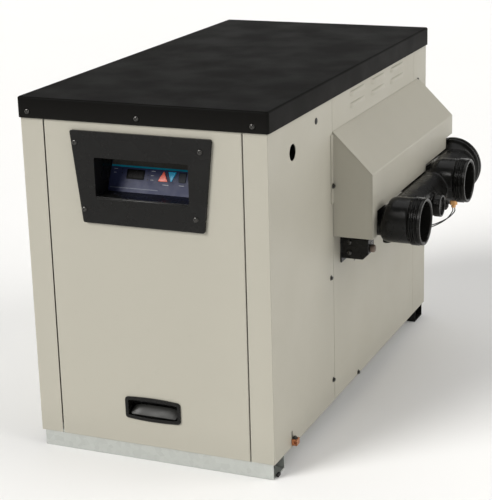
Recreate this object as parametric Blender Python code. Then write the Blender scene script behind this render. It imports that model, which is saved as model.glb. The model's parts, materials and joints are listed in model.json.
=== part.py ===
"""Low-profile gas pool heater: a sheet-metal cabinet with a hinged front door, a side hood over the
water header, and the burner, blower and finned-tube exchanger that it holds.

Metres, +Z up. The origin is the centre of the underside of the base, the front faces -Y and the
water header stands out on +X.
"""
import math

import bmesh
import bpy
from mathutils import Matrix, Vector

# ---------------------------------------------------------------- driving dimensions
CABINET_WIDTH = 0.538
CABINET_DEPTH = 1.050
CABINET_TOP = 0.719            # the lid's lower edge
BASE_HEIGHT = 0.036
LID_HEIGHT = 0.043
LID_OVERHANG = 0.004
LID_EDGE_RADIUS = 0.005
SHEET = 0.0015
GAP = 0.0004                   # between pieces that touch
SEAM = 0.0012                  # between neighbouring panels

CORNER_FLANGE = 0.051          # side panels wrap this far onto the front
SIDE_SEAM_DEPTH = 0.357        # front edge to the side panel seam
REAR_SEAM_DEPTH = 0.946        # front edge to the rear seam

LOUVRE_DEPTH = 0.470           # front edge to the first slot
LOUVRE_PITCH = 0.143
LOUVRE_LENGTH = 0.105
LOUVRE_SLOT = 0.005
LOUVRE_TOP = 0.700
LOUVRE_ROW_PITCH = 0.026

GAS_HOLE_DEPTH = 0.128
GAS_HOLE_Z = 0.654
GAS_HOLE_RADIUS = 0.017
GAS_PIPE_RADIUS = 0.0133
GAS_PIPE_BORE = 0.0104
GAS_PIPE_SET_BACK = 0.030      # side panel to the pipe's end
FEED_PIPE_RADIUS = 0.0105

RAIL_WIDTH = 0.060
RAIL_RECESS = 0.005
MIDDLE_RAIL_INSET = 0.045
RAIL_SHEET = 0.0025
PAN_LIP = 0.014

DOOR_CLEARANCE = 0.0025        # door to the corner flanges
DOOR_RETURN = 0.016
DOOR_TOP_GAP = 0.0006

BEZEL_TOP_WIDTH = 0.310
BEZEL_BOTTOM_WIDTH = 0.268
BEZEL_TOP = 0.701
BEZEL_BOTTOM = 0.512
BEZEL_PROUD = 0.0060
BEZEL_CORNER = 0.0040
BEZEL_RIM = 0.012              # overlap of the bezel on the door
WINDOW_WIDTH = 0.206
WINDOW_TOP = 0.648
WINDOW_BOTTOM = 0.568
WINDOW_CORNER = 0.0030
WINDOW_WALL = 0.003
KEYPAD_TILT = math.radians(26)
KEYPAD_FOOT_DEPTH = 0.0460     # door face to the foot of the keypad
KEYPAD_LENGTH = 0.092
OVERLAY_THICKNESS = 0.0008
HOUSING_DEPTH = 0.109
HOUSING_WALL = 0.0025
HOUSING_MARGIN = 0.010
DISPLAY_LEFT = -0.0645
DISPLAY_LOW = 0.0280
DISPLAY_SIZE = (0.0366, 0.0172)
BUTTON_CLEARANCE = 0.0005
BUTTON_HEIGHT = 0.0016

PULL_WIDTH = 0.126
PULL_HEIGHT = 0.052
PULL_Z = 0.118
PULL_PROUD = 0.0030
PULL_RIM = 0.0070
PULL_WALL = 0.0020
PULL_POCKET_DEPTH = 0.024
PULL_BOW = 0.0030              # the long edges swell this far in the middle
PULL_CORNER = 0.0060
PULL_SCOOP = 0.014             # the pocket's floor rises this much towards the back

HOOD_TOP = 0.646
HOOD_RIDGE = 0.558
HOOD_BOTTOM = 0.415
HOOD_OUT = 0.089
HOOD_FRONT_DEPTH = 0.3575
HOOD_REAR_DEPTH = 0.982
HOOD_FLANGE = 0.013
HOOD_SCREW_Z = 0.529

TRUNK_OUT = 0.112              # side panel to the header's axis
TRUNK_Z = 0.437
TRUNK_RADIUS = 0.038
TRUNK_REAR_RADIUS = 0.050
TRUNK_FRONT_DEPTH = 0.392
TRUNK_STEP_DEPTH = 0.755
TRUNK_STEP_LENGTH = 0.030
TRUNK_FLANGE_DEPTH = 0.938
END_FLANGE_RADIUS = 0.070
END_FLANGE_OUT = 0.100
END_FLANGE_THICKNESS = 0.013
TRUNK_BORE = 0.030

PORT_DEPTHS = {"inlet": 0.410, "outlet": 0.770}
PORT_Z = 0.450
PORT_RADIUS = 0.0500
PORT_BORE = 0.0435
PORT_ROOT_OUT = 0.096
PORT_SHOULDER_OUT = 0.1627     # where the threaded fitting seats
PORT_OUT = 0.191
THREAD_RADIUS = 0.0522
THREAD_PITCH = 0.0048
THREAD_TURNS = 4
NECK_RADIUS = 0.034
NECK_BORE = 0.026
NECK_CLEARANCE = 0.004
NECK_SET_BACK = 0.027          # from a port's axis back to its neck's axis

BYPASS_DEPTH = 0.610
BYPASS_Z = 0.430
BYPASS_RADIUS = 0.021
BYPASS_BORE = 0.0150
BYPASS_OUT = 0.152             # the face that the bypass cap seats on
BYPASS_CAP_RADIUS = 0.025
BYPASS_CAP_LENGTH = 0.018
DRAIN_OUT = 0.125
DRAIN_SET_BACK = 0.020          # the outlet's axis to the drain plug's
DRAIN_RADIUS = 0.0115

SENSOR_SET_BACK = 0.010        # the fitting's seat to the thermowell's axis
WIRE_RADIUS = 0.0013
GROMMET_DEPTH = 0.650
GROMMET_Z = 0.372

SWITCH_DEPTHS = (0.402, 0.442)
SWITCH_BOTTOM = 0.353
SWITCH_OUT = 0.064
SWITCH_CHAMFER = 0.013
DIAL_DEPTH = 0.420
DIAL_Z = 0.376
DIAL_RADIUS = 0.0085

LUG_DEPTH = 0.100
LUG_Z = 0.047
LUG_OUT = 0.012
LUG_BORE = 0.0028
LUG_SLOT = ((0.094, 0.040), (0.100, 0.070))     # depths and heights of the slot behind the lug

BLOWER_AXIS_DEPTH = 0.215
BLOWER_AXIS_Z = 0.250
BLOWER_RADIUS = 0.105
BLOWER_WIDTH = 0.090
BLOWER_WALL = 0.003
INTAKE_RADIUS = 0.045
SHAFT_RADIUS = 0.0050
SHAFT_BORE = 0.0060
MOTOR_RADIUS = 0.042
MOTOR_LENGTH = 0.075
WHEEL_RADIUS = 0.075
WHEEL_BLADES = 12

# Corners in the front compartment: across, behind the door's face, above the floor.
VALVE_CORNERS = ((0.020, 0.112, 0.606), (0.105, 0.180, 0.686))
TRANSFORMER_CORNERS = ((-0.225, 0.250, 0.560), (-0.165, 0.310, 0.640))

TUBE_COUNT = 3
TUBE_RADIUS = 0.0140
TUBE_Z = 0.437
FIN_RADIUS = 0.032
FIN_COUNT = 8

CHAMBER_WALL = 0.025
TRAY_CLEARANCE = 0.020
TRAY_HEIGHT = 0.030

EXHAUST_RADIUS = 0.063
EXHAUST_Z = 0.600

# ---------------------------------------------------------------- places that follow from them
SIDE_X = CABINET_WIDTH / 2
FRONT_Y = -CABINET_DEPTH / 2
BACK_Y = CABINET_DEPTH / 2
LID_TOP = CABINET_TOP + LID_HEIGHT


def y_at(depth):
    """World Y of a place that lies this far behind the cabinet's front."""
    return FRONT_Y + depth


def x_out(out):
    """World X of a place that stands this far out from the right side."""
    return SIDE_X + out


# ---------------------------------------------------------------- materials
def material(name, colour, roughness, metallic=0.0):
    made = bpy.data.materials.new(name)
    made.use_nodes = True
    shader = made.node_tree.nodes["Principled BSDF"]
    shader.inputs["Base Color"].default_value = (*colour, 1.0)
    shader.inputs["Roughness"].default_value = roughness
    shader.inputs["Metallic"].default_value = metallic
    made.diffuse_color = (*colour, 1.0)
    return made


PAINT = ("painted_steel", (0.49, 0.46, 0.37), 0.45, 0.0)
LID_PAINT = ("black_painted_steel", (0.020, 0.019, 0.017), 0.50, 0.0)
ZINC = ("galvanised_steel", (0.56, 0.58, 0.57), 0.40, 0.9)
PLASTIC = ("black_plastic", (0.012, 0.012, 0.012), 0.38, 0.0)
OVERLAY_BLUE = ("keypad_film", (0.012, 0.045, 0.130), 0.35, 0.0)
DARK_LENS = ("display_lens", (0.010, 0.008, 0.010), 0.15, 0.0)
RED_KEY = ("red_key", (0.75, 0.06, 0.04), 0.35, 0.0)
CYAN_KEY = ("cyan_key", (0.01, 0.30, 0.60), 0.35, 0.0)
GREY_KEY = ("grey_key", (0.06, 0.07, 0.08), 0.40, 0.0)
BRASS = ("brass", (0.60, 0.33, 0.14), 0.30, 1.0)
COPPER = ("copper", (0.62, 0.25, 0.12), 0.28, 1.0)
BLACK_RUBBER = ("black_rubber", (0.015, 0.015, 0.015), 0.65, 0.0)
BOARD_GREEN = ("circuit_board", (0.02, 0.16, 0.06), 0.45, 0.0)
CAST_IRON = ("cast_iron", (0.05, 0.05, 0.05), 0.60, 0.4)
REFRACTORY = ("refractory", (0.62, 0.58, 0.50), 0.90, 0.0)
SCREW_BLACK = ("black_screw", (0.02, 0.02, 0.02), 0.35, 0.6)
DIAL_GREY = ("dial_grey", (0.20, 0.17, 0.15), 0.45, 0.0)


# ---------------------------------------------------------------- building shapes
def box(low, high):
    made = bmesh.new()
    bmesh.ops.create_cube(made, size=1.0)
    low, high = Vector(low), Vector(high)
    for vertex in made.verts:
        vertex.co = low + Vector((c + 0.5) * (h - l) for c, l, h in zip(vertex.co, low, high))
    return made


def tub(low, high, radius):
    """A box whose upright and top edges are rounded and whose lowest edges stay sharp."""
    made = box(low, high)
    edges = [e for e in made.edges if any(v.co.z > (low[2] + high[2]) / 2 for v in e.verts)]
    bmesh.ops.bevel(made, geom=edges, offset=radius, segments=3, profile=0.5, affect="EDGES")
    return made


def prism(outline, axis, start, end):
    """A straight body: an outline in the plane across the axis, run from start to end along it."""
    place = {
        "X": lambda a, b, t: (t, a, b),
        "Y": lambda a, b, t: (a, t, b),
        "Z": lambda a, b, t: (a, b, t),
    }[axis]
    made = bmesh.new()
    low = [made.verts.new(place(a, b, start)) for a, b in outline]
    high = [made.verts.new(place(a, b, end)) for a, b in outline]
    made.faces.new(low)
    made.faces.new(high)
    for i in range(len(outline)):
        j = (i + 1) % len(outline)
        made.faces.new((low[i], low[j], high[j], high[i]))
    bmesh.ops.recalc_face_normals(made, faces=made.faces)
    return made


def circle(centre, radius, count=24):
    angles = [2 * math.pi * i / count for i in range(count)]
    return [(centre[0] + radius * math.cos(a), centre[1] + radius * math.sin(a)) for a in angles]


def rounded(corners, radius, steps=4):
    """An outline with each of its corners rounded by an arc of short chords."""
    points = []
    count = len(corners)
    for i, corner in enumerate(corners):
        corner = Vector(corner)
        before = (Vector(corners[i - 1]) - corner).normalized()
        after = (Vector(corners[(i + 1) % count]) - corner).normalized()
        half = before.angle(after) / 2
        centre = corner + (before + after).normalized() * radius / math.sin(half)
        start = corner + before * radius / math.tan(half) - centre
        sweep = math.pi - 2 * half
        if before.x * after.y - before.y * after.x > 0:
            sweep = -sweep
        points += [tuple(centre + Matrix.Rotation(sweep * k / steps, 2) @ start) for k in range(steps + 1)]
    return points


def bent_sheet(line, thickness):
    """The closed outline of a folded sheet: a line of bends, and the same line moved to its left."""
    points = [Vector(p) for p in line]
    inner = []
    for i, point in enumerate(points):
        sides = []
        if i:
            sides.append((point - points[i - 1]).normalized())
        if i + 1 < len(points):
            sides.append((points[i + 1] - point).normalized())
        normals = [Vector((-s.y, s.x)) for s in sides]
        mitre = sum(normals, Vector((0.0, 0.0))).normalized()
        inner.append(point + mitre * thickness / mitre.dot(normals[0]))
    return [tuple(p) for p in points] + [tuple(p) for p in reversed(inner)]


def turned(profile, direction, centre, count=24):
    """A turned body. Its closed profile holds (radius, distance along the direction) points."""
    made = bmesh.new()
    to_axis = Vector((0, 0, 1)).rotation_difference(Vector(direction)).to_matrix().to_4x4()
    place = Matrix.Translation(centre) @ to_axis
    rings = []
    for radius, along in profile:
        if radius == 0:
            rings.append([made.verts.new(place @ Vector((0, 0, along)))] * count)
            continue
        rings.append([made.verts.new(place @ Vector((x, y, along)))
                      for x, y in circle((0, 0), radius, count)])
    for i, ring in enumerate(rings):
        other = rings[(i + 1) % len(rings)]
        for k in range(count):
            corners = []
            for vertex in (ring[k], ring[(k + 1) % count], other[(k + 1) % count], other[k]):
                if vertex not in corners:
                    corners.append(vertex)
            if len(corners) > 2:
                made.faces.new(corners)
    bmesh.ops.recalc_face_normals(made, faces=made.faces)
    return made


def moved(shape, offset):
    bmesh.ops.translate(shape, verts=shape.verts, vec=Vector(offset))
    return shape


def rod(start, end, radius, count=24):
    start, end = Vector(start), Vector(end)
    length = (end - start).length
    profile = [(0, 0), (radius, 0), (radius, length), (0, length)]
    return turned(profile, (end - start).normalized(), start, count)


def piece(name, shape, look, origin=(0, 0, 0), smooth=False):
    """One named sub-part. Its own origin goes where its joint turns, or stays at the base."""
    mesh = bpy.data.meshes.new(name)
    moved(shape, -Vector(origin)).to_mesh(mesh)
    shape.free()
    made = bpy.data.objects.new(name, mesh)
    made.location = origin
    bpy.context.collection.objects.link(made)
    mesh.materials.append(bpy.data.materials.get(look[0]) or material(*look))
    if smooth:
        mesh.shade_smooth()
        mesh.set_sharp_from_angle(angle=math.radians(35))
    return made


def helper(shape, owner):
    """A body that only cuts or joins another one."""
    mesh = bpy.data.meshes.new("helper")
    shape.to_mesh(mesh)
    shape.free()
    made = bpy.data.objects.new("helper_" + owner.name, mesh)
    bpy.context.collection.objects.link(made)
    made.hide_render = True
    made.display_type = "WIRE"
    return made


def change(target, shape, operation):
    step = target.modifiers.new(operation.lower(), "BOOLEAN")
    step.object = helper(shape, target)
    step.operation = operation
    step.solver = "EXACT"


def cut(target, *shapes):
    for shape in shapes:
        change(target, shape, "DIFFERENCE")


def join(target, *shapes):
    for shape in shapes:
        change(target, shape, "UNION")


def hang_on(parent, *children):
    for child in children:
        child.location = child.location - parent.location
        child.parent = parent


# ---------------------------------------------------------------- base and cabinet
def make_base():
    width = SIDE_X - RAIL_RECESS
    middles = {
        "base_rail_front": y_at(RAIL_RECESS) + RAIL_WIDTH / 2,
        "base_rail_middle": 0.0,
        "base_rail_rear": -y_at(RAIL_RECESS) - RAIL_WIDTH / 2,
    }
    for name, middle in middles.items():
        front, rear, top = middle - RAIL_WIDTH / 2, middle + RAIL_WIDTH / 2, BASE_HEIGHT - SHEET - GAP
        channel = [(front, top), (front, 0.0), (rear, 0.0), (rear, top)]
        half = width - (MIDDLE_RAIL_INSET if name == "base_rail_middle" else 0)
        piece(name, prism(bent_sheet(channel, RAIL_SHEET), "X", -half, half),
              ZINC if name != "base_rail_rear" else PLASTIC)
    inset = SHEET + GAP
    floor = piece("base_pan", box(
        (-SIDE_X + inset, FRONT_Y + inset + DOOR_RETURN, BASE_HEIGHT - SHEET),
        (SIDE_X - inset, BACK_Y - inset, BASE_HEIGHT + PAN_LIP)), ZINC)
    cut(floor, box(
        (-SIDE_X + inset + SHEET, FRONT_Y + inset + DOOR_RETURN + SHEET, BASE_HEIGHT),
        (SIDE_X - inset - SHEET, BACK_Y - inset - SHEET, BASE_HEIGHT + PAN_LIP + SHEET)))


def louvre_slots():
    """Two rows of three long slots, high on the rear side panel."""
    made = []
    for row in range(2):
        for column in range(3):
            start = y_at(LOUVRE_DEPTH + LOUVRE_PITCH * column)
            low_z = LOUVRE_TOP - LOUVRE_ROW_PITCH * row
            made.append(box((SIDE_X - 0.01, start, low_z),
                            (SIDE_X + 0.01, start + LOUVRE_LENGTH, low_z + LOUVRE_SLOT)))
    return made


def neck_holes(radius):
    return [rod((SIDE_X - 0.02, y_at(depth), TRUNK_Z), (SIDE_X + 0.02, y_at(depth), TRUNK_Z), radius)
            for depth in neck_depths()]


def neck_depths():
    """The header's two necks go into the cabinet behind its two ports."""
    return PORT_DEPTHS["inlet"] + NECK_SET_BACK, PORT_DEPTHS["outlet"] + NECK_SET_BACK


def make_cabinet():
    low, high = BASE_HEIGHT, CABINET_TOP - GAP
    left = [(-SIDE_X, y_at(REAR_SEAM_DEPTH) - SEAM / 2), (-SIDE_X, FRONT_Y),
            (-SIDE_X + CORNER_FLANGE, FRONT_Y)]
    piece("side_panel_left", prism(bent_sheet(left, SHEET), "Z", low, high), PAINT)

    right = [(SIDE_X - CORNER_FLANGE, FRONT_Y), (SIDE_X, FRONT_Y),
             (SIDE_X, y_at(SIDE_SEAM_DEPTH) - SEAM / 2)]
    (slot_near, slot_low), (slot_far, slot_high) = LUG_SLOT
    front = piece("side_panel_right_front", prism(bent_sheet(right, SHEET), "Z", low, high), PAINT)
    cut(front,
        rod((SIDE_X - 0.02, y_at(GAS_HOLE_DEPTH), GAS_HOLE_Z),
            (SIDE_X + 0.02, y_at(GAS_HOLE_DEPTH), GAS_HOLE_Z), GAS_HOLE_RADIUS),
        box((SIDE_X - 0.02, y_at(slot_near), slot_low), (SIDE_X + 0.02, y_at(slot_far), slot_high)))

    rear = piece("side_panel_right_rear", box(
        (SIDE_X - SHEET, y_at(SIDE_SEAM_DEPTH) + SEAM / 2, low),
        (SIDE_X, y_at(REAR_SEAM_DEPTH) - SEAM / 2, high)), PAINT)
    cut(rear, *neck_holes(NECK_RADIUS + NECK_CLEARANCE), *louvre_slots())

    seam = y_at(REAR_SEAM_DEPTH) + SEAM / 2
    wrap = [(SIDE_X, seam), (SIDE_X, BACK_Y), (-SIDE_X, BACK_Y), (-SIDE_X, seam)]
    back = piece("back_panel", prism(bent_sheet(wrap, SHEET), "Z", low, high), PAINT)
    cut(back, rod((0, BACK_Y - 0.02, EXHAUST_Z), (0, BACK_Y + 0.02, EXHAUST_Z), EXHAUST_RADIUS + 0.004))

    inner = SIDE_X - SHEET - GAP
    divider_y = y_at(SIDE_SEAM_DEPTH) + 0.004
    divider = piece("divider_panel", box(
        (-inner, divider_y, BASE_HEIGHT + GAP), (inner, divider_y + SHEET, high - 0.004)), ZINC)
    cut(divider,
        box((-inner - 0.01, divider_y - 0.01, BASE_HEIGHT - 0.01),
            (-inner + 2 * SHEET, divider_y + 0.01, BASE_HEIGHT + PAN_LIP + GAP)),
        box((inner - 2 * SHEET, divider_y - 0.01, BASE_HEIGHT - 0.01),
            (inner + 0.01, divider_y + 0.01, BASE_HEIGHT + PAN_LIP + GAP)),
        rod((feed_x(), divider_y - 0.02, feed_z()), (feed_x(), divider_y + 0.02, feed_z()), FEED_PIPE_RADIUS + SEAM),
        box((blower_mouth()[0], divider_y - 0.02, blower_mouth()[2]),
            (blower_mouth()[1], divider_y + 0.02, blower_mouth()[3])))


def make_lid():
    x, y = SIDE_X + LID_OVERHANG, BACK_Y + LID_OVERHANG
    wall = SHEET
    lid = piece("top_lid", tub((-x, -y, CABINET_TOP), (x, y, LID_TOP), LID_EDGE_RADIUS), LID_PAINT)
    cut(lid, tub((-x + wall, -y + wall, CABINET_TOP - 0.01), (x - wall, y - wall, LID_TOP - wall),
                 LID_EDGE_RADIUS - wall))

    rail_y = y_at(0.021)
    rail = piece("front_top_rail", prism(bent_sheet(
        [(rail_y + 0.022, CABINET_TOP - 0.018), (rail_y, CABINET_TOP - 0.018),
         (rail_y, CABINET_TOP + 0.026), (FRONT_Y + 0.0015, CABINET_TOP + 0.026),
         (FRONT_Y + 0.0015, CABINET_TOP + 0.004)], SHEET), "X", -SIDE_X + 0.004, SIDE_X - 0.004), ZINC)
    for x_screw in (-0.250, -0.005, 0.240):
        start = (x_screw, FRONT_Y - 0.02, CABINET_TOP + 0.0135)
        end = (x_screw, FRONT_Y + 0.03, CABINET_TOP + 0.0135)
        cut(lid, rod(start, end, 0.0024, 16))
        cut(rail, rod(start, end, 0.0024, 16))
    for name, x_screw in (("left", -0.250), ("middle", -0.005), ("right", 0.240)):
        head = -0.0018
        profile = [(0, head), (0.0035, head), (0.0045, -GAP), (0.0020, -GAP), (0.0020, 0.012), (0, 0.012)]
        piece("lid_screw_" + name, turned(
            profile, (0, 1, 0), (x_screw, FRONT_Y - LID_OVERHANG, CABINET_TOP + 0.0135), 16),
            SCREW_BLACK, smooth=True)


# ---------------------------------------------------------------- door and its controls
def door_edges():
    side = SIDE_X - CORNER_FLANGE - DOOR_CLEARANCE
    return -side, side, BASE_HEIGHT - GAP, CABINET_TOP - DOOR_TOP_GAP


def bezel_outline(grow, radius):
    """The inverted trapezoid of the control bezel, with its corners rounded."""
    top, bottom = BEZEL_TOP_WIDTH / 2 + grow, BEZEL_BOTTOM_WIDTH / 2 + grow
    corners = [(-bottom, BEZEL_BOTTOM - grow), (bottom, BEZEL_BOTTOM - grow),
               (top, BEZEL_TOP + grow), (-top, BEZEL_TOP + grow)]
    return rounded(corners, radius)


def window_outline(grow):
    half = WINDOW_WIDTH / 2 + grow
    corners = [(-half, WINDOW_BOTTOM - grow), (half, WINDOW_BOTTOM - grow),
               (half, WINDOW_TOP + grow), (-half, WINDOW_TOP + grow)]
    return rounded(corners, WINDOW_CORNER + grow, 3)


def keypad_place():
    """From keypad coordinates (across, up the slope, out of it) to the cabinet's."""
    turn = Matrix.Rotation(math.pi / 2 - KEYPAD_TILT, 4, "X")
    return Matrix.Translation((0, y_at(KEYPAD_FOOT_DEPTH), WINDOW_BOTTOM)) @ turn


def on_keypad(shape):
    shape.transform(keypad_place())
    return shape


def keypad_point(across, up, out):
    return keypad_place() @ Vector((across, up, out))


def key_outline(name, grow=0.0):
    """The outline of a key on the keypad: two triangles and a bar."""
    g = grow
    if name == "up_button":
        return rounded([(0.0050 - 1.8 * g, 0.0265 - g), (0.0270 + 1.8 * g, 0.0265 - g),
                        (0.0160, 0.0485 + 1.8 * g)], 0.0012 + g, 2)
    if name == "down_button":
        return rounded([(0.0345, 0.0255 - 1.8 * g), (0.0440 + 1.8 * g, 0.0475 + g),
                        (0.0250 - 1.8 * g, 0.0475 + g)], 0.0012 + g, 2)
    return rounded([(0.0510 - g, 0.0275 - g), (0.0660 + g, 0.0275 - g),
                    (0.0660 + g, 0.0465 + g), (0.0510 - g, 0.0465 + g)], 0.0010 + g, 2)


def display_corners(grow=0.0):
    width, height = DISPLAY_SIZE
    right, high = DISPLAY_LEFT + width, DISPLAY_LOW + height
    return DISPLAY_LEFT - grow, right + grow, DISPLAY_LOW - grow, high + grow


def make_door():
    left, right, low, high = door_edges()
    hinge = bpy.data.objects.new("door_hinge", None)
    hinge.location = (0, FRONT_Y, high)
    bpy.context.collection.objects.link(hinge)

    door = piece("door_panel", box((left, FRONT_Y, low), (right, FRONT_Y + DOOR_RETURN, high)), PAINT)
    cut(door,
        box((left + SHEET, FRONT_Y + SHEET, low + SHEET), (right - SHEET, FRONT_Y + 0.05, high - SHEET)),
        prism(bezel_outline(-BEZEL_RIM, BEZEL_CORNER), "Y", FRONT_Y - 0.01, FRONT_Y + 0.01),
        prism(pull_outline(-PULL_RIM / 2), "Y", FRONT_Y - 0.01, FRONT_Y + 0.01))

    hang_on(hinge, door, *make_pull(), *make_controls())


def pull_outline(grow):
    """A wide flat rectangle with rounded corners, whose long edges swell in the middle."""
    half_width, half_height = PULL_WIDTH / 2 + grow, PULL_HEIGHT / 2 - PULL_BOW + grow
    corners = [(-half_width, -half_height), (half_width, -half_height),
               (half_width, half_height), (-half_width, half_height)]
    corner = max(PULL_CORNER + grow, PULL_CORNER / 2)
    outline = rounded(corners, corner, 3)
    low = [(k / 4 * (half_width - corner), -half_height) for k in range(-3, 4)]
    high = [(-x, half_height) for x, _ in low]
    quarter = len(outline) // 4
    outline = outline[:quarter] + low + outline[quarter:3 * quarter] + high + outline[3 * quarter:]
    swell = [1 - (x / half_width) ** 2 for x, _ in outline]
    return [(x, PULL_Z + z + math.copysign(PULL_BOW * s, z)) for (x, z), s in zip(outline, swell)]


def make_pull():
    """A flat rim on the door's face and the pocket behind it."""
    front, back = FRONT_Y - PULL_PROUD, FRONT_Y + PULL_POCKET_DEPTH
    rim = piece("pull_handle", prism(pull_outline(0), "Y", front, FRONT_Y - GAP), PLASTIC)
    join(rim, prism(pull_outline(PULL_WALL - PULL_RIM), "Y", front + GAP, back + PULL_WALL))
    half_width = PULL_WIDTH / 2 - PULL_RIM
    half_height = PULL_HEIGHT / 2 - PULL_BOW - PULL_RIM
    low, high = PULL_Z - half_height, PULL_Z + half_height
    scooped = [(front, low), (back, low + PULL_SCOOP), (back, high), (front, high)]
    cut(rim,
        prism(pull_outline(-PULL_RIM), "Y", front - 0.01, FRONT_Y + PULL_WALL),
        prism(scooped, "X", -half_width, half_width))
    return [rim]


def make_controls():
    bezel = piece("bezel", prism(bezel_outline(0, BEZEL_CORNER), "Y", FRONT_Y - BEZEL_PROUD, FRONT_Y - GAP), PLASTIC)
    join(bezel, prism(window_outline(WINDOW_WALL), "Y", FRONT_Y - BEZEL_PROUD / 2, y_at(HOUSING_DEPTH)))
    behind = OVERLAY_THICKNESS + 2 * GAP
    cut(bezel,
        prism(window_outline(0), "Y", FRONT_Y - 0.02, FRONT_Y + 0.12),
        on_keypad(box((-0.2, -0.02, -0.2), (0.2, 0.2, behind))))

    half = WINDOW_WIDTH / 2 + HOUSING_MARGIN
    low_z, high_z = WINDOW_BOTTOM - HOUSING_MARGIN, WINDOW_TOP + HOUSING_MARGIN
    back_y = y_at(HOUSING_DEPTH)

    def slope_y(z):
        return y_at(KEYPAD_FOOT_DEPTH) + (z - WINDOW_BOTTOM) * math.tan(KEYPAD_TILT)

    set_back = GAP / math.cos(KEYPAD_TILT)
    wall = HOUSING_WALL
    outer = [(slope_y(low_z) + set_back, low_z), (back_y, low_z), (back_y, high_z),
             (slope_y(high_z) + set_back, high_z)]
    housing = piece("control_housing", prism(outer, "X", -half, half), PLASTIC)
    inner_front = wall / math.cos(KEYPAD_TILT) + set_back
    inner = [(slope_y(low_z + wall) + inner_front, low_z + wall), (back_y + 0.01, low_z + wall),
             (back_y + 0.01, high_z - wall), (slope_y(high_z - wall) + inner_front, high_z - wall)]
    cut(housing, prism(inner, "X", -half + wall, half - wall))

    overlay = piece("keypad_overlay", on_keypad(box(
        (-WINDOW_WIDTH / 2 - 0.002, -0.003, 0.0),
        (WINDOW_WIDTH / 2 + 0.002, KEYPAD_LENGTH, OVERLAY_THICKNESS))), OVERLAY_BLUE)

    made = [bezel, housing, overlay]
    for name, look in (("up_button", RED_KEY), ("down_button", CYAN_KEY), ("mode_button", GREY_KEY)):
        for target in (housing, overlay):
            hole = key_outline(name, BUTTON_CLEARANCE)
            cut(target, on_keypad(prism(hole, "Z", -0.01, 0.01)))
        key = on_keypad(prism(key_outline(name), "Z", -wall, BUTTON_HEIGHT))
        made.append(piece(name, key, look, origin=keypad_point(0.03, 0.036, 0)))

    left, right, low, high = display_corners(GAP)
    for target in (housing, overlay):
        cut(target, on_keypad(box((left, low, -0.01), (right, high, 0.01))))
    left, right, low, high = display_corners()
    made.append(piece("display_window", on_keypad(box(
        (left, low, -wall), (right, high, OVERLAY_THICKNESS + 0.0004))), DARK_LENS))

    made.append(piece("control_board", on_keypad(box(
        (-WINDOW_WIDTH / 2 + 0.004, 0.004, -wall - 0.0080),
        (WINDOW_WIDTH / 2 - 0.004, KEYPAD_LENGTH - 0.020, -wall - 0.0064))), BOARD_GREEN))
    return made


# ---------------------------------------------------------------- side hood
def hood_line(inset):
    """The hood's section from its lower edge over the ridge to the cabinet, moved inwards by inset."""
    slope = (HOOD_TOP - HOOD_RIDGE) / (HOOD_OUT - GAP)
    top = HOOD_TOP - inset * math.hypot(1, slope)
    out = HOOD_OUT - inset
    return [(x_out(out), HOOD_BOTTOM), (x_out(out), top - slope * (out - GAP)), (x_out(GAP), top)]


def make_hood():
    front, rear = y_at(HOOD_FRONT_DEPTH), y_at(HOOD_REAR_DEPTH)
    section = hood_line(0) + hood_line(SHEET)[::-1]
    cover = piece("hood_cover", prism(section, "Y", front, rear), PAINT)
    # The outer face is cut away in three steps for the header's body and its end flange.
    clear = 0.004
    steps = [
        (TRUNK_FRONT_DEPTH - clear, TRUNK_Z + max(step_height(TRUNK_RADIUS) + clear, NECK_RADIUS + GAP)),
        (TRUNK_STEP_DEPTH - clear, TRUNK_Z + step_height(TRUNK_REAR_RADIUS) + clear),
        (TRUNK_FLANGE_DEPTH - 3 * clear, TRUNK_Z + END_FLANGE_RADIUS + clear),
    ]
    ends = [depth for depth, _ in steps[1:]] + [HOOD_REAR_DEPTH + 0.01]
    for (depth, top), end in zip(steps, ends):
        cut(cover, box((x_out(HOOD_OUT - 0.01), y_at(depth), HOOD_BOTTOM - 0.01),
                       (x_out(HOOD_OUT + 0.01), y_at(end) + 0.0001, top)))

    inside = hood_line(SHEET + GAP)
    end = piece("hood_end_front", prism(
        inside + [(x_out(GAP), HOOD_BOTTOM)], "Y", front + GAP, front + GAP + SHEET), PAINT)
    join(end, box((x_out(GAP), front - HOOD_FLANGE, HOOD_BOTTOM + 0.075),
                  (x_out(GAP + SHEET), front + GAP + SHEET, inside[-1][1] - 2 * SHEET)))
    middle = front - HOOD_FLANGE / 2
    for target in (end, bpy.data.objects["side_panel_right_front"]):
        cut(target, rod((SIDE_X - 0.01, middle, HOOD_SCREW_Z), (SIDE_X + 0.01, middle, HOOD_SCREW_Z), 0.0026, 16))
    profile = [(0, 0.0022), (0.0050, 0.0016), (0.0055, GAP), (0.0022, GAP), (0.0022, -0.010), (0, -0.010)]
    piece("hood_screw", turned(profile, (1, 0, 0), (x_out(GAP + SHEET), middle, HOOD_SCREW_Z), 16),
          SCREW_BLACK, smooth=True)


def step_height(radius):
    """How high the header's body stands above its axis where the hood's face passes it."""
    return math.sqrt(radius ** 2 - (TRUNK_OUT - HOOD_OUT) ** 2)


# ---------------------------------------------------------------- water header
def header_point(out, depth, z):
    return Vector((x_out(out), y_at(depth), z))


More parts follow.
